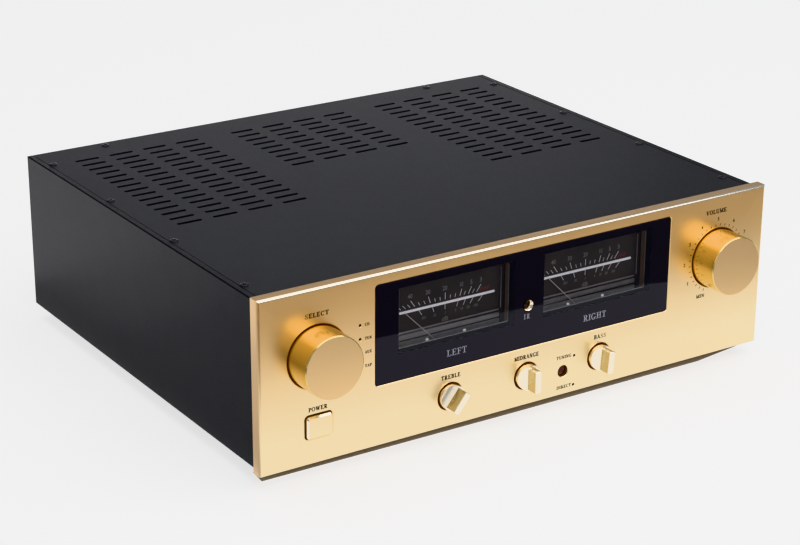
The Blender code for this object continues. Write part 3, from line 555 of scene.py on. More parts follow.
PRINTED_GLASS = finish("printed_glass", (0.0026, 0.0021, 0.0031), (0.0034, 0.0028, 0.004), 40,
                       roughness=0.03, IOR=1.52, Specular_Tint=(0.9, 0.87, 1.0, 1))
GLASS = pane("display_glass", True)
GLASS_BACK = pane("display_glass_back", False)

SLOT_LOOKS = {"gold_anodised": GOLD_KNOB, "black_paint": BLACK_PAINT, "zinc_steel": STEEL,
              "dark_glass": GLASS, "dial_black": DIAL, "needle_white": NEEDLE, "rubber_black": RUBBER,
              "black_plastic": PLASTIC, "board_green": BOARD, "heatsink_black": HEATSINK,
              "winding_film": WINDING, "capacitor_sleeve": SLEEVE, "red_plastic": RED_PLASTIC}


def dress_cad_nodes():
    """Every CAD node gets the procedural version of its own finish, and sheet metal broken edges."""
    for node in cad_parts.values():
        for i, material in enumerate(node.data.materials):
            if material.name in SLOT_LOOKS:
                node.data.materials[i] = SLOT_LOOKS[material.name]
    for name in ("left_side_plate", "right_side_plate", "bottom_plate", "rear_panel"):
        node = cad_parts[name]
        weld = node.modifiers.new("weld", "WELD")
        weld.merge_threshold = 0.01 * MM
        bevel = node.modifiers.new("broken_edges", "BEVEL")
        bevel.width = 0.35 * MM
        bevel.segments = 2
        bevel.limit_method = "ANGLE"
        bevel.angle_limit = math.radians(40)
        if "side" in name:
            for i in range(len(node.data.materials)):
                node.data.materials[i] = SIDE_PAINT


# Front panel

PANEL_W, PANEL_H, PANEL_T, PANEL_CHAMFER = 430, 125, 9, 2.2
RECESS_DEPTH = 5
BUSHING_HOLE = 4.8
EDGE, LED_EDGE = 0.45, 0.25          # chamfer around the panel's openings and the light holes
MAIN_RECESS, TONE_RECESS = 23, 10.4
WINDOW_OPENING, POWER_OPENING = (251.4, 73, 2.5), (21.5, 17.6, 3)    # width, height, corner radius
MODE_R = 4.4
LED_HOLE = 1.05
SELECT = middle_of("select_knob")
VOLUME = middle_of("volume_knob")
TONES = {name: middle_of(name + "_knob") for name in ("treble", "midrange", "bass")}
TONE_TURN = {"treble": 38, "midrange": 0, "bass": 5}
POWER = middle_of("power_button")
MODE = middle_of("mode_button")
WINDOW = middle_of("front_window")
EYE = middle_of("remote_eye_bezel")
SOURCE_LEDS = [(-137.5, 91.4 - 9.9 * i) for i in range(4)]
MODE_LEDS = [(42, 28.4), (42, 5.9)]
EYE_R = 4.2
METERS = {"left": middle_of("left_meter_dial"), "right": middle_of("right_meter_dial")}
APERTURE_W, APERTURE_H, APERTURE_Z, APERTURE_SHIFT = 90.5, 43.8, 87.9, 0.4
PANE_BORDER_X, PANE_BORDER_Y = 2.2, 1.7              # clear glass beyond the opening in the print
GLASS_FRONT, GLASS_REAR = -0.3, -3.3
RECESSES = [(SELECT, MAIN_RECESS), (VOLUME, MAIN_RECESS)] + [(tone, TONE_RECESS) for tone in TONES.values()]
FILLET_STEPS = 6                     # around the panel's own edge


def make_panel():
    shell = Shell(on_front())
    outer = rounded(PANEL_W, PANEL_H, 0.3, 0, PANEL_H / 2, 2)
    fillet = [(-PANEL_CHAMFER * (1 - math.cos(a)), -PANEL_CHAMFER * (1 - math.sin(a)))
              for a in (math.pi / 2 * step / FILLET_STEPS for step in range(FILLET_STEPS + 1))]
    back, face = shell.stack(outer, [(0, -PANEL_T), *fillet])
    face_rings, back_rings = [face], [back]
    through = [(rounded(*WINDOW_OPENING, WINDOW.x, WINDOW.z), EDGE),
               (rounded(*POWER_OPENING, POWER.x, POWER.z), EDGE), (circle(MODE_R, MODE.x, MODE.z, 64), EDGE)]
    through += [(circle(LED_HOLE, x, z, 20), LED_EDGE) for x, z in SOURCE_LEDS + MODE_LEDS]
    for hole, edge in through:
        front_ring, back_ring = shell.stack(hole, [(edge, 0), (0, -edge), (0, -PANEL_T)])
        face_rings.append(front_ring)
        back_rings.append(back_ring)
    for place, radius in RECESSES:
        recess = circle(radius, place.x, place.z, 128)
        front_ring, floor_ring = shell.stack(recess, [(EDGE, 0), (0, -EDGE), (0, -RECESS_DEPTH)])
        bore = circle(BUSHING_HOLE, place.x, place.z, 48)
        bore_ring, back_ring = shell.stack(bore, [(0, -RECESS_DEPTH), (0, -PANEL_T)])
        shell.cap(floor_ring, bore_ring)
        face_rings.append(front_ring)
        back_rings.append(back_ring)
    shell.cap(*face_rings)
    shell.cap(*back_rings)
    panel = shell.piece("panel_face", GOLD_PANEL_PAINTED_SHEEN, slot="gold_anodised", stands_for=["front_panel"])

    def choose(face):
        """The rim gets a darker gold as painted shade, and the parts of its fillet that face up or right get
        a pale gold as a painted highlight.
        """
        from_middle = face.center - ORIGIN - Vector((0, 0, PANEL_H / 2 * MM))
        beyond_x = abs(from_middle.x) > (PANEL_W / 2 - PANEL_CHAMFER - 0.1) * MM
        beyond_z = abs(from_middle.z) > (PANEL_H / 2 - PANEL_CHAMFER - 0.1) * MM
        slope = -face.normal.y
        if not (beyond_x or beyond_z):
            return 0
        glint = 0.3 < slope < 0.93 and (face.normal.z > 0.3 or face.normal.x > 0.3)
        return 2 if glint else 1 if slope < 0.6 else 0
    repaint(panel, choose, GOLD_RIM_PAINTED_SHADE, GOLD_CUT_PAINTED_GLINT)
    # dark rings in the gap of each knob recess, painted shade
    shade_rings = Shell(on_front())
    for place, radius in RECESSES:
        inner, outer = radius - 0.75, radius - 0.1
        shade_rings.lathe([(inner, -1.0), (outer, -0.9), (outer, -4.5), (inner, -4.5)], 96, place.x, place.z,
                      closed=True)
    shade_rings.piece("knob_recess_shade_rings", RECESS_SHADE)


def aperture(meter, border_x=0.0, border_y=0.0):
    """The opening in the window's print over a meter, or a rectangle that reaches past it."""
    return rounded(APERTURE_W + 2 * border_x, APERTURE_H + 2 * border_y, 0.4,
                   meter.x + APERTURE_SHIFT, APERTURE_Z, 3)


def make_window():
    low, high = mm_box("front_window")
    width, height = high.x - low.x, high.z - low.z
    hole = circle(EYE_R + 0.3, EYE.x, EYE.z, 64)
    shell = Shell(on_front())
    back, front = shell.stack(rounded(width, height, 2.2, WINDOW.x, WINDOW.z),
                              [(0, GLASS_REAR), (0, GLASS_FRONT - 0.2), (-0.2, GLASS_FRONT)])
    hole_back, hole_front = shell.stack(hole, [(0, GLASS_REAR), (0, GLASS_FRONT)])
    panes = [shell.ring(aperture(meter, PANE_BORDER_X, PANE_BORDER_Y)(), GLASS_FRONT)
             for meter in METERS.values()]
    shell.cap(front, hole_front, *panes)
    for ring in panes:
        shell.cap(ring)
    shell.cap(back, hole_back)
    glass = shell.piece("window_glass", GLASS_BACK, slot="dark_glass", stands_for=["front_window"])

    def choose(face):
        """The outer face is clear over the meters and black print elsewhere."""
        if face.normal.y >= -0.5:
            return 0
        x, _, z = (face.center - ORIGIN) / MM
        level = abs(z - APERTURE_Z) < APERTURE_H / 2 + PANE_BORDER_Y
        return 1 if level and any(abs(x - meter.x - APERTURE_SHIFT) < APERTURE_W / 2 + PANE_BORDER_X
                                  for meter in METERS.values()) else 2
    repaint(glass, choose, GLASS, PRINTED_GLASS)

    shell = Shell(on_front())
    outlines = [rounded(width - 0.4, height - 0.4, 2.0, WINDOW.x, WINDOW.z),
                *(aperture(meter) for meter in METERS.values()), hole]
    print_layers = [(0, GLASS_REAR - 0.2), (0, GLASS_REAR - 0.06)]
    shell.pierced(*((outline, print_layers) for outline in outlines))
    shell.piece("window_print", PRINT_BLACK, slot="dial_black")

    shell = Shell(on_front())
    ink_z = GLASS_FRONT + 0.03
    shell.serif("LEFT", METERS["left"].x + 0.6, 55.1, ink_z, 4.9, 16.4, weight=0.56)
    shell.serif("RIGHT", METERS["right"].x - 0.9, 54.9, ink_z, 4.9, 20.2, weight=0.56)
    shell.serif("IR", EYE.x - 0.8, 67.8, ink_z, 3.9, 5.0, gap=0.3, weight=0.5)
    shell.piece("window_lettering", GLASS_INK)


# Meters

NUMBER_SPREAD = 1.14                 # the upper numbers stand wider apart than their lines
SCALE_Z = 86.4
SCALE_LEFT, SCALE_RIGHT = -37.8, 41.0
PIVOT_Z = middle_of("left_meter_dial").z - 28.5
DIAL_FACE = -13.97
MAJORS = (("50", -36.4), ("40", -25.1), ("30", -12.4), ("20", -0.2), ("10", 11.9), ("5", 19.0), ("3", 26.0))
LOWER = ((".001", -21.7), (".01", -10.6), (".1", -0.3), ("1", 10.5), ("10", 16.6), ("50", 23.1),
         ("100", 30.8))


def radial(x, level, height):
    """The x at another height of a line that passes x at a level and runs from the needle's pivot."""
    return x * (height - PIVOT_Z) / (level - PIVOT_Z)


def radial_tick(shell, middle_x, x, start, end, width):
    """A line from one height to another, along the ray from the needle's pivot through x at the start."""
    lean = math.atan2(x, start - PIVOT_Z)
    place_x = middle_x + radial(x, start, (start + end) / 2)
    half = abs(end - start) / 2 / math.cos(lean)
    middle_z = (start + end) / 2
    shell.box((place_x - width / 2, middle_z - half, DIAL_FACE - 0.03),
              (place_x + width / 2, middle_z + half, DIAL_FACE + 0.05), math.degrees(lean))


def make_scale(name, x0):
    bar, bright, dim, red, screws = (Shell(on_front()) for _ in range(5))
    bar.prism(rounded(SCALE_RIGHT - SCALE_LEFT, 1.75, 0.8, x0 + (SCALE_LEFT + SCALE_RIGHT) / 2, SCALE_Z, 4),
              [(0, DIAL_FACE - 0.03), (0, DIAL_FACE + 0.3), (-0.3, DIAL_FACE + 0.55)])
    above, tall, short, numbers = SCALE_Z + 2.4, SCALE_Z + 7.3, SCALE_Z + 5.0, SCALE_Z + 10.8
    for (_, left), (_, right) in zip(MAJORS, MAJORS[1:]):
        parts = 3 if right - left > 7.5 else 2
        for i in range(1, parts):
            radial_tick(bright, x0, left + (right - left) * i / parts, above, short, 0.42)
    for words, x in MAJORS:
        radial_tick(bright, x0, x, above, tall, 0.5)
        dim.text(words, x0 + NUMBER_SPREAD * x - 0.3, numbers, DIAL_FACE, 3.4, digits_width(words, 1.95))
    for x in (28.6, 31.2, 33.8):
        radial_tick(red, x0, x, above, short, 0.5)
    below, foot = SCALE_Z - 1.2, SCALE_Z - 4.9
    for words, x in LOWER:
        radial_tick(bright, x0, x, below, foot, 0.45)
        dim.text(words, x0 + radial(x, below, SCALE_Z - 7.0), SCALE_Z - 7.3, DIAL_FACE, 2.1,
                 digits_width(words, 1.35))
    dim.text("dB", x0 - 0.2, 74.7, DIAL_FACE, 3.3, 5.4)
    for x in (-15.7, 15.3):
        screws.lathe([(0, DIAL_FACE + 2.4), (0.6, DIAL_FACE + 2.2), (1.0, DIAL_FACE + 1.7),
                      (1.1, DIAL_FACE + 1.15), (0, DIAL_FACE + 1.15)], 24, x0 + x, 63.0)
    for shell, part, material in ((bar, "bar", SCALE_BAR_GLOW), (screws, "screws", DIAL_SCREW_GLINT),
                                  (bright, "lines", DIAL_INK), (dim, "numbers", DIAL_INK_DIM),
                                  (red, "red", DIAL_INK_RED)):
        shell.piece(name + "_scale_" + part, material)


def make_meter(name, dial):
    x0 = dial.x
    make_scale(name, x0)
    plate = Shell(on_front())
    plate.prism(rounded(99.0, 65.0, 0.5, x0, dial.z, 2), [(0, DIAL_FACE - 0.9), (0, DIAL_FACE)])
    plate.piece(name + "_dial_face", DIAL, slot="dial_black", stands_for=[name + "_meter_dial"])

    ribs = Shell(on_front())
    for low, high, lift in ((57.5, 65.2, 1.2), (66.6, 69.9, 0.9), (71.2, 72.4, 0.5)):
        ribs.box((x0 - 47, low, DIAL_FACE + 0.02), (x0 + 45, high, DIAL_FACE + lift), chamfer=0.4)
    ribs.piece(name + "_movement_cover", RIB)

    needle = Shell(on_front(x0, PIVOT_Z, -45))
    tip, root, front = 0.22, 0.42, -11.2

    def taper(offset=0.0):
        return [(root + offset, 0), (tip + offset, 49), (-tip - offset, 49), (-root - offset, 0)]
    needle.prism(taper, [(0, front - 0.5), (0, front)])
    needle.lathe([(0, front + 0.25), (2.4, front + 0.25), (3.0, front - 0.3), (3.0, front - 1.4),
                  (1.3, front - 1.4), (1.3, front - 9.4), (0, front - 9.4)], 40)
    needle.piece(name + "_pointer", NEEDLE, name + "_needle", "needle_white",
                 stands_for=[name + "_meter_needle"])

    trim = Shell(on_front())
    right, low = x0 + APERTURE_SHIFT + APERTURE_W / 2, APERTURE_Z - APERTURE_H / 2
    left, high = x0 + APERTURE_SHIFT - APERTURE_W / 2, APERTURE_Z + APERTURE_H / 2
    trim.box((left, low + 0.02, -4.4), (right - 0.5, low + 0.42, -3.55))
    trim.box((right - 0.2, low + 0.1, -3.9), (right - 0.02, high - 1.5, -3.55))
    trim.box((left + 0.02, low + 0.5, -4.4), (left + 0.25, high, -3.55))
    trim.box((x0 + 45.9, 73.0, -13.94), (x0 + 46.4, 103.5, -13.2))
    trim.piece(name + "_window_edge", TRIM)
    # the side lining gives off a faint painted glow
    lining = Shell(on_front())
    lining.box((x0 + 49.7, 57.0, -13.6), (x0 + 49.95, 112.0, -4.0))
    lining.piece(name + "_side_lining", LINING_GLOW)


# Controls on the front

def make_main_knob(name, place, body):
    low, high = mm_box(name + "_knob")
    radius, reach = (high.x - low.x) / 2, -low.y
    side = Shell(on_front(place.x, place.z))
    side.lathe([(radius - 0.6, reach), (radius, reach - 0.6), (radius, -1.7), (radius - 0.3, -2.0),
                (0, -2.0), (0, reach - 1.5), (radius - 0.6, reach - 1.5)], 160)
    side.lathe([(radius - 0.6, reach - 1.5), (radius - 0.6, reach)], 160)
    side.piece(name + "_knob_body", GOLD_KNOB, body, "gold_anodised", stands_for=[name + "_knob"])
    face = Shell(on_front(place.x, place.z))
    face.lathe([(0, reach), (radius - 0.63, reach), (radius - 0.63, reach - 1.4), (0, reach - 1.4)], 160)
    face.piece(name + "_knob_face", GOLD_FACE, body, "gold_anodised", stands_for=[name + "_knob"])


def make_tone_knob(name, place):
    """A disc whose face rises in a hollow sweep to the foot of the bar grip."""
    body = name + "_control"
    low, high = mm_box(name + "_knob")
    reach, radius, half_bar, rim, foot, back = -low.y, 9.4, 2.6, 2.3, 5.5, -2.0
    disc = Shell(on_front(place.x, place.z, TONE_TURN[name]))
    columns = [(0.0, foot), (half_bar, foot)]
    for step in range(1, 13):
        part = step / 12
        columns.append((half_bar + (8.9 - half_bar) * part,
                        rim + 0.25 + (foot - rim - 0.25) * (1 - part) ** 1.7))
    columns += [(9.2, rim + 0.1), (9.35, rim - 0.2)]
    columns = [(-x, z) for x, z in columns[:0:-1]] + columns
    rows = []
    for x, z in columns:
        y = math.sqrt(max(radius ** 2 - x ** 2, 0.01))
        corners = ((x, y, z), (x, -y, z), (x, -y, back), (x, y, back))
        rows.append([disc.bm.verts.new(corner) for corner in corners])
    for first, second in zip(rows, rows[1:]):
        disc.wall(first, second)
    disc.bm.faces.new(rows[0])
    disc.bm.faces.new(rows[-1])
    disc.piece(name + "_knob_disc", GOLD_PALE, body, "gold_anodised", smooth=28, stands_for=[name + "_knob"])
    grip = Shell(on_front(place.x, place.z, TONE_TURN[name]))
    grip.prism(bar_grip(8.3, half_bar * 2), [(0, rim - 0.5), (0, reach - 0.35), (-0.35, reach)])
    bar = grip.piece(name + "_knob_grip", GOLD_PALE, body, "gold_anodised", smooth=25,
                     stands_for=[name + "_knob"])
    repaint(bar, lambda face: abs(face.normal.y) < 0.3 and face.area > 20 * MM * MM, GOLD_FLANK)


def make_buttons():
    cap = Shell(on_front())
    low, high = mm_box("power_button")
    outline = rounded(high.x - low.x, high.z - low.z, 2.3, POWER.x, POWER.z)
    cap.prism(outline, [(0, -6), (0, 1.4), (-1.1, 2.5)])
    button = cap.piece("power_button_cap", GOLD_PANEL_PAINTED_SHEEN, "power_push", "gold_anodised", smooth=20,
                       stands_for=["power_button"])
    # the cap's chamfer is a polished cut edge, and its pale gold is a painted highlight
    repaint(button, lambda face: 0.3 < -face.normal.y < 0.95, GOLD_CUT_PAINTED_GLINT)
    cap = Shell(on_front(MODE.x, MODE.z))
    cap.lathe([(0, -2.5), (2.2, -2.6), (3.3, -2.9), (3.8, -3.4), (3.8, -7), (1.5, -7), (1.5, -16),
               (0, -16)], 64)
    cap.piece("mode_button_cap", MAROON, "mode_push", "red_plastic", stands_for=["mode_button"])


def make_lights():
    lenses = Shell(on_front())
    for x, z in SOURCE_LEDS + MODE_LEDS:
        lenses.lathe([(0, -0.02), (0.6, -0.08), (0.98, -0.24), (0.98, -0.38), (0, -0.38)], 20, x, z)
    lenses.piece("indicator_lenses", EYE_DARK, slot="red_plastic")


def make_eye():
    """A countersunk ring around the dark window of the receiver."""
    ring = Shell(on_front(EYE.x, EYE.z))
    ring.lathe([(2.5, -2.4), (3.9, 0.3), (4.05, 0.4), (EYE_R, 0.2), (EYE_R, -3), (2.5, -3)], 72, closed=True)
    # a polished cut ring, whose pale gold is also a painted highlight
    rim = ring.piece("remote_eye_ring", GOLD_CUT_PAINTED_GLINT, slot="gold_anodised",
                     stands_for=["remote_eye_bezel"])

    # the ring's outer lip and wall take the dark lens colour as painted shade
    def is_outer_slope(face):
        return math.hypot(*((face.center - ORIGIN) / MM - Vector((EYE.x, 0, EYE.z))).xz) > 3.9
    repaint(rim, is_outer_slope, EYE_DARK)
    eye = Shell(on_front(EYE.x, EYE.z))
    eye.lathe([(0, -2.5), (1.5, -2.7), (2.3, -3.3), (2.3, -8.2), (4.0, -8.2), (4.0, -13), (0, -13)], 48)
    eye.piece("remote_eye_lens", EYE_DARK, slot="red_plastic", stands_for=["remote_receiver"])


def make_panel_lettering():
    shell = Shell(on_front())
    for words, x, height, size, width in (
            ("SELECT", SELECT.x - 0.3, 106.7, 3.1, 18.2), ("VOLUME", VOLUME.x - 2.4, 113.0, 3.1, 19.0),
            ("POWER", POWER.x - 0.6, 40.1, 3.0, 14.4), ("TREBLE", TONES["treble"].x, 37.6, 3.1, 15.8),
            ("MIDRANGE", TONES["midrange"].x - 0.4, 37.4, 3.1, 21.0),
            ("BASS", TONES["bass"].x + 0.1, 38.3, 3.1, 10.8),
            ("MIN", VOLUME.x - 13.4, VOLUME.z - 27.6, 2.5, 7.6)):
        shell.serif(words, x, height, INK_Z, size, width)
    shell.serif("TUNING", 39.2, 29.5, INK_Z, 2.4, 13.0, "RIGHT")
    shell.serif("DIRECT", 39.8, 6.4, INK_Z, 2.4, 12.8, "RIGHT")
    for words, (x, height) in zip(("CD", "TUN", "AUX", "TAP"), SOURCE_LEDS):
        shell.serif(words, x + 3.6, height, INK_Z, 2.0, 1.75 * len(words), "LEFT")

    def around_volume(radius, degrees):
        angle = math.radians(degrees)
        return VOLUME.x + radius * math.sin(angle), VOLUME.z + radius * math.cos(angle)
    for turn in range(-155, 156, 10):
        x, y = around_volume(25.4, turn)
        shell.box((x - 0.24, y - 0.8, -0.01), (x + 0.24, y + 0.8, 0.04), turn)
    for number in range(1, 10):
        x, y = around_volume(30.2, -150 + 30 * number)
        shell.text(str(number), x, y, INK_Z, 2.7, digits_width(str(number), 1.7))
    shell.piece("panel_printing", PANEL_INK)


# Case

SLOT_W, SLOT_H, SLOT_STEP_X, SLOT_STEP_Y = 19.5, 3.2, 28.5, 11.8
SLOT_BACK = 327                      # depth of the rearmost row of slots


def make_cover():
    low, high = mm_box("top_cover")
    shell = Shell(on_top())
    outline = rounded(high.x - low.x, high.y - low.y, 0.3, 0, (low.y + high.y) / 2, 2)
    parts = [(outline, [(0, low.z), (0, high.z - 0.25), (-0.25, high.z)])]
    for group_x, rows in ((-134.5, 15), (0, 9), (134.5, 15)):
        for column in range(4):
            for row in range(rows):
                slot = rounded(SLOT_W, SLOT_H, SLOT_H / 2 - 0.01, group_x + (column - 1.5) * SLOT_STEP_X,
                               SLOT_BACK - row * SLOT_STEP_Y, 5)
                parts.append((slot, [(0, low.z), (0, high.z - 0.15), (0.15, high.z)]))
    shell.pierced(*parts)
    shell.piece("slotted_cover", BLACK_PAINT, slot="black_paint", stands_for=["top_cover"])
    # dark strips along the top edges of the side plates, painted shade in the seams under the cover
    seam_strips = Shell(on_front())
    for side, inner, outer in (("left", 0.9, -0.03), ("right", -0.9, 0.03)):
        low, high = mm_box(side + "_side_plate")
        edge = low.x if side == "left" else high.x
        seam_strips.box((edge + min(inner, outer), high.z - 0.5, -high.y + 0.5),
                  (edge + max(inner, outer), high.z + 0.03, -low.y))
    seam_strips.piece("cover_seam_shade_strips", SEAM_SHADE, slot="black_paint")


def screw_head(shell, x, y, z, turn, radius=3.0, height=0.55):
    """A low countersunk head with a cross recess."""
    turning = Matrix.Rotation(math.radians(turn), 2)
    points = [tuple(turning @ Vector(p)) for p in cross(radius * 0.62, radius * 0.28)]

    def shape(offset=0.0):
        return [(px * (1 + offset), py * (1 + offset)) for px, py in points]
    head = [(0, z), (0, z + height * 0.4), (-0.25, z + height * 0.8), (-0.7, z + height)]
    base, top = shell.stack(circle(radius, 0, 0, 40), head, x, y)
    shell.cap(base)
    edge, floor = shell.stack(shape, [(0, z + height), (-0.25, z + 0.05)], x, y)
    shell.cap(top, edge)
    shell.cap(floor)


def make_screws():
    cover_top = mm_box("top_cover")[1].z
    shell = Shell(on_top())
    for i, depth in enumerate((36, 134, 232, 330)):
        for side in (-1, 1):
            screw_head(shell, side * 204, depth, cover_top, 17 + 23 * i + 11 * side)
    for side in (-1, 1):
        screw_head(shell, side * 150, 352, cover_top, 40 + 15 * side)
    shell.piece("cover_screws", SCREW)
    bottom = mm_box("bottom_plate")[0]
    shell = Shell(on_bottom())
    for i, depth in enumerate((20, 130, 240, 348)):
        for side in (-1, 1):
            screw_head(shell, side * 198, -depth, -bottom.z, 12 + 31 * i + 9 * side)
    shell.piece("bottom_screws", SCREW)
    rear = mm_box("rear_panel")[1]
    shell = Shell(on_rear(0, 0, rear.y))
    for i, x in enumerate((-198, -66, 66, 198)):
        for height in (8, 114):
            screw_head(shell, x, height, 0, 25 + 19 * i + height, 2.6, 0.6)
    shell.piece("rear_screws", SCREW)


def make_feet():
    for corner in ("front_left", "front_right", "rear_left", "rear_right"):
        name = corner + "_foot"
        low, high = mm_box(name)
        middle, radius = (low + high) / 2, (high.x - low.x) / 2
        body, pad = Shell(on_bottom(middle.x, middle.y)), Shell(on_bottom(middle.x, middle.y))
        body.lathe([(0, -high.z), (radius - 2, -high.z), (radius, 0.4), (radius, 6.5), (radius - 0.6, 8.0),
                    (radius - 2.0, 8.8), (radius - 4.0, 8.8), (radius - 4.0, 8.0), (0, 8.0)], 80)
        body.piece(name + "_body", PLASTIC, slot="rubber_black", stands_for=[name])
        pad.lathe([(0, 8.05), (radius - 4.3, 8.05), (radius - 4.3, 9.4), (radius - 4.9, -low.z),
                   (3.5, -low.z), (3.2, 9.0), (0, 9.0)], 64)
        pad.piece(name + "_pad", RUBBER, slot="rubber_black", stands_for=[name])


# Rear connectors

REAR_FACE = 358.8                    # depth of the rear panel's outer face
JACK_STEP, TERMINAL_STEP = 24, 26


def rear_shells(node, count):
    """Shells that share a local frame in the middle of a node, on the outer face of the rear panel."""
    middle = middle_of(node)
    return [Shell(on_rear(middle.x, middle.z, REAR_FACE)) for _ in range(count)]


def make_plate(shell, width, height, radius, thickness, edge, well_width, well_height):
    """A plate on the rear panel, and the block that fills the opening behind it."""
    shell.prism(rounded(width, height, radius), [(0, 0), (0, thickness - edge), (-edge, thickness)])
    shell.prism(rounded(well_width, well_height, 1.5), [(0, -12.8), (0, -0.02)])


def make_jacks():
    low, high = mm_box("input_jack_block")
    plate, metal, left, right = rear_shells("input_jack_block", 4)
    make_plate(plate, high.x - low.x, high.z - low.z, 2.0, 2.0, 0.5, 98, 34)
    plate.piece("jack_plate", PLASTIC, slot="black_plastic", stands_for=["input_jack_block"])
    for column in range(4):
        x = (column - 1.5) * JACK_STEP
        for insulator, y in ((left, 10), (right, -10)):
            insulator.lathe([(4.9, 2.0), (6.6, 2.0), (6.6, 2.9), (6.3, 3.2), (4.9, 3.2)], 40, x, y, True)
            metal.lathe([(4.75, 2.0), (4.75, 4.2), (4.2, 4.5), (4.2, 9.6), (3.9, 10.0), (3.3, 10.0),
                         (3.1, 9.7), (3.1, 2.0)], 40, x, y, True)
            insulator.lathe([(1.7, 2.0), (3.0, 2.0), (3.0, 8.6), (1.7, 8.6)], 32, x, y, True)
    metal.piece("jack_barrels", STEEL)
    left.piece("jack_insulators_left", WHITE_PLASTIC, slot="black_plastic")
    right.piece("jack_insulators_right", RED_PLASTIC, slot="black_plastic")


def make_inlet():
    body, pins = rear_shells("mains_inlet", 2)
    flange_back, flange_front = body.stack(rounded(52, 32, 3.0), [(0, 0), (0, 2.4), (-0.6, 3.0)])
    mouth, floor = body.stack(rounded(24.6, 16.6, 2.4), [(0.3, 3.0), (0, 2.7), (0, -15.5)])
    body.cap(flange_front, mouth)
    body.cap(floor)
    shell_top, shell_end = body.stack(rounded(46, 26, 1.5), [(0, 0), (0, -22.6)])
    body.cap(flange_back, shell_top)
    body.cap(shell_end)
    body.piece("mains_inlet_body", PLASTIC, slot="black_plastic", stands_for=["mains_inlet"])
    for x, y in ((-7, -2), (0, 2), (7, -2)):
        pins.box((x - 1, y - 2, -15.5), (x + 1, y + 2, -4.8), chamfer=0.5)
    for side in (-1, 1):
        screw_head(pins, side * 21, 0, 3.0, 30 * side, 2.2, 0.5)
    pins.piece("mains_inlet_pins", STEEL)


RIBS = 18                            # around a terminal cap


def knurled(offset=0.0):
    """A terminal cap's ribbed outline, plain where its end is turned down."""
    points = []
    for i in range(RIBS * 6):
        angle = 2 * math.pi * i / (RIBS * 6)
        dip = 0.28 * (1 - math.cos(RIBS * angle)) if offset > -0.5 else 0.0
        r = 7.0 - dip + offset
        points.append((r * math.cos(angle), r * math.sin(angle)))
    return points


def make_terminal_cap(name, slot, material):
    node = name + "_terminal_cap"
    low, high = mm_box(node)
    length = high.y - low.y
    cap = Shell(on_rear((low.x + high.x) / 2, (low.z + high.z) / 2, low.y))
    bore, socket = circle(2.8, 0, 0, RIBS * 6), circle(2.1, 0, 0, RIBS * 6)
    bore_back, bore_end = cap.stack(bore, [(0, 0), (0, 11.5)])
    back, front = cap.stack(knurled, [(-0.6, 0.0), (-0.1, 0.4), (-0.1, length - 1.4), (-0.6, length - 0.9),
                                      (-1.2, length)])
    cap.cap(back, bore_back)
    socket_back, socket_front = cap.stack(socket, [(0, 11.5), (0, length)])
    cap.cap(bore_end, socket_back)
    cap.cap(front, socket_front)
    cap.piece(name + "_cap_knurled", material, name + "_cap", slot, smooth=40, stands_for=[node])


def make_terminals():
    height = middle_of("speaker_terminal_block").z
    plate, collars, studs = (Shell(on_rear(0, height, REAR_FACE)) for _ in range(3))
    make_plate(plate, 112, 28, 2.5, 2.5, 0.6, 90, 14)
    plate.piece("terminal_plate", PLASTIC, slot="black_plastic", stands_for=["speaker_terminal_block"])
    for index, name in enumerate(("left_minus", "left_plus", "right_minus", "right_plus")):
        x = (1.5 - index) * TERMINAL_STEP
        collars.lathe([(2.45, 2.5), (6.5, 2.5), (6.5, 6.2), (6.1, 6.7), (2.45, 6.7)], 48, x, 0, True)
        studs.lathe([(0, 2.5), (2.4, 2.5), (2.4, 16.4), (2.0, 16.8), (0, 16.8)], 32, x, 0)
        red = "plus" in name
        make_terminal_cap(name, *(("red_plastic", RED_PLASTIC) if red else ("black_plastic", PLASTIC)))
    collars.piece("terminal_collars", PLASTIC)
    studs.piece("terminal_studs", STEEL)


def make_rear_lettering():
    shell = Shell(on_rear(0, 0, mm_box("rear_panel")[1].y))
    jacks, posts, inlet = (middle_of(node) for node in ("input_jack_block", "speaker_terminal_block",
                                                        "mains_inlet"))
    for column in range(4):
        x = (column - 1.5) * JACK_STEP
        shell.text(str(4 - column), x - jacks.x, jacks.z + 24.5, INK_Z, 4.0, 2.6)
        shell.text("+-"[column % 2], (column - 1.5) * TERMINAL_STEP, posts.z + 18, INK_Z, 4.0)
    shell.text("INPUT", -jacks.x, jacks.z - 25.0, INK_Z, 3.6, 15)
    shell.text("SPEAKERS", 0, posts.z - 19.5, INK_Z, 3.6, 26)
    shell.text("AC INPUT", -inlet.x, inlet.z + 21, INK_Z, 3.4, 22)
    for words, side in (("L", 1), ("R", -1)):
        shell.text(words, -jacks.x - 56.5, jacks.z + 10 * side, INK_Z, 3.4)
        shell.text(words, TERMINAL_STEP * side, posts.z + 25, INK_Z, 3.6)
    shell.piece("rear_printing", REAR_INK)


# Studio

def sheet(name, outline, level, paint, dark, light, scale, strength, roughness=1.0, glow=(1, 1, 1, 1)):
    """A flat sheet of the stage, in metres, that mirrors nothing and gives off some light of its own."""
    mesh = bpy.data.meshes.new(name)
    mesh.from_pydata([(x, y, level) for x, y in outline], [], [range(len(outline))])
    mesh.materials.append(finish(paint, dark, light, scale, roughness=roughness, gloss=0.0,
                                 Emission_Color=glow, Emission_Strength=strength))
    obj = add_object(name, mesh)
    return obj


FLOOR_HALF = 7.0
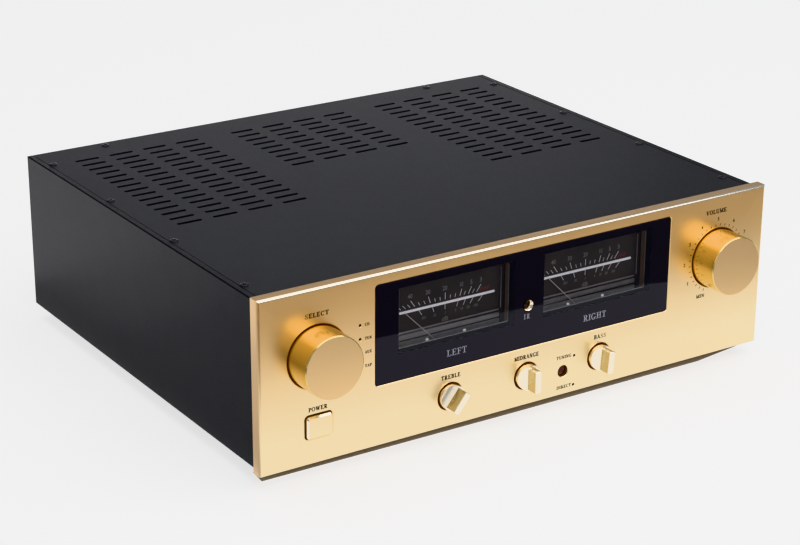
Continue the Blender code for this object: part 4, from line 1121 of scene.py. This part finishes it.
# a brownish patch of floor under the case without most of the floor's glow: a painted shadow
SHADOW_PATCH = ((0.19, 0.35), (-0.188, 0.35), (-0.188, 0.03), (-0.2055, 0.027), (-0.207, 0.0125), (0, 0.0105),
       (0.168, 0.0105), (0.212, 0.0172))
CARDS = (("grey_card", 0.4, 0, ((4, -4), (4, -0.12), (0.34, -0.12), (0.227, -0.156), (-0.01, -0.176),
                                 (-0.2, -0.19), (-0.2, -4))),
         ("corner_card", 0.09, 0, ((-0.205, -1.2), (-0.205, -0.19), (-0.24, -0.15), (-1.2, -0.15),
                                   (-1.2, -1.2))),
         ("left_card", 0.03, 0.62, ((-0.262, 0.0), (-0.262, 0.3), (-4, 0.3), (-4, -0.1),
                                    (-0.32, -0.1))),
         ("far_left_card", 0.03, 0.82, ((-0.262, 0.3), (-0.262, 0.43), (-4, 0.43), (-4, 0.3))),
         ("near_card", 0.03, 0.52, ((-0.222, -0.01), (-0.262, -0.05), (-0.262, 0.43), (-0.222, 0.43))))


def behind_panel(outline):
    """Outlines of the painted shadow patch and the cards count their depth from the panel's face."""
    return [(x, ORIGIN.y + y) for x, y in outline]


def make_stage():
    half = FLOOR_HALF
    sheet("floor", ((-half, -half), (half, -half), (half, half), (-half, half)), 0, "pale_floor",
          (0.375, 0.375, 0.38), (0.385, 0.385, 0.39), 0.7, 0.735, 0.9)
    # painted shadow under the case
    sheet("shadow_patch_under_case", behind_panel(SHADOW_PATCH), 0.0008, "painted_shadow_under_case", (0.46, 0.41, 0.34), (0.52, 0.46, 0.38),
          150, 0.07, glow=(1.0, 0.86, 0.66, 1))
    for name, shade, strength, outline in CARDS:
        card = sheet(name, behind_panel(outline), 0.001, name + "_paper", (shade - 0.01, shade - 0.01, shade),
                     (shade + 0.01, shade + 0.01, shade + 0.02), 2, strength)
        card.visible_camera = False
        card.visible_diffuse = False
        card.visible_shadow = False
        card.visible_transmission = False


def make_world():
    """White where the camera sees it, and a dimmer light for everything else."""
    world = bpy.data.worlds.new("studio")
    bpy.context.scene.world = world
    world.use_nodes = True
    tree = world.node_tree
    path, lit, mix = (tree.nodes.new("ShaderNode" + kind)
                      for kind in ("LightPath", "Background", "MixShader"))
    seen = set_inputs(tree, tree.nodes["Background"], {"Color": (1, 1, 1, 1), "Strength": 1.1})
    set_inputs(tree, lit, {"Color": (0.97, 0.98, 1.0, 1), "Strength": 0.36})
    set_inputs(tree, mix, {0: path.outputs["Is Camera Ray"], 1: lit.outputs[0], 2: seen.outputs[0]})
    set_inputs(tree, tree.nodes["World Output"], {"Surface": mix.outputs[0]})


def soft_box(name, place, aim, width, height, power):
    light = bpy.data.lights.new(name, "AREA")
    light.shape = "RECTANGLE"
    light.size = width
    light.size_y = height
    light.energy = power
    lamp = add_object(name, light)
    lamp.location = place
    lamp.rotation_euler = (Vector(aim) - Vector(place)).to_track_quat("-Z", "Y").to_euler()


FOCAL_LENGTH = 2.7066                # in widths of the camera's sensor
CAMERA_PLACE = (-836.98, -1114.49, 638.63)           # in mm from the middle of the panel's lower edge
AZIMUTH, ELEVATION, ROLL = -33.242, 21.172, 0.292


def make_lights_and_camera():
    soft_box("key", (0.5, -1.4, 1.8), (0.0, -0.2, 0.1), 3.2, 1.8, 36)
    soft_box("overhead", (0.2, 0.4, 2.6), (0.1, 0.2, 0), 3.0, 2.0, 20)
    soft_box("front_card", (-0.8, -1.9, 0.72), (-0.05, -0.18, 0.03), 1.3, 0.9, 1.9)
    soft_box("back_strip", (1.15, 2.2, 0.34), (0, -0.1, 0.1), 1.4, 0.45, 3.2)
    camera_data = bpy.data.cameras.new("camera")
    camera_data.sensor_width = 36
    camera_data.lens = FOCAL_LENGTH * camera_data.sensor_width
    camera_data.clip_start = 0.05
    camera_data.clip_end = 60
    camera = add_object("camera", camera_data)
    camera.location = ORIGIN + Vector(CAMERA_PLACE) * MM
    camera.rotation_mode = "XYZ"
    camera.rotation_euler = (turned(AZIMUTH, "Z") @ turned(90 - ELEVATION, "X")
                             @ turned(ROLL, "Z")).to_euler()
    bpy.context.scene.camera = camera
    bpy.context.scene.view_settings.view_transform = "Khronos PBR Neutral"


dress_cad_nodes()
make_panel()
make_window()
for meter_name, meter_dial in METERS.items():
    make_meter(meter_name, meter_dial)
make_main_knob("select", SELECT, "select_control")
make_main_knob("volume", VOLUME, "volume_control")
for tone_name, tone_place in TONES.items():
    make_tone_knob(tone_name, tone_place)
make_buttons()
make_lights()
make_eye()
make_panel_lettering()
make_cover()
make_screws()
make_feet()
make_jacks()
make_inlet()
make_terminals()
make_rear_lettering()
make_stage()
make_world()
make_lights_and_camera()
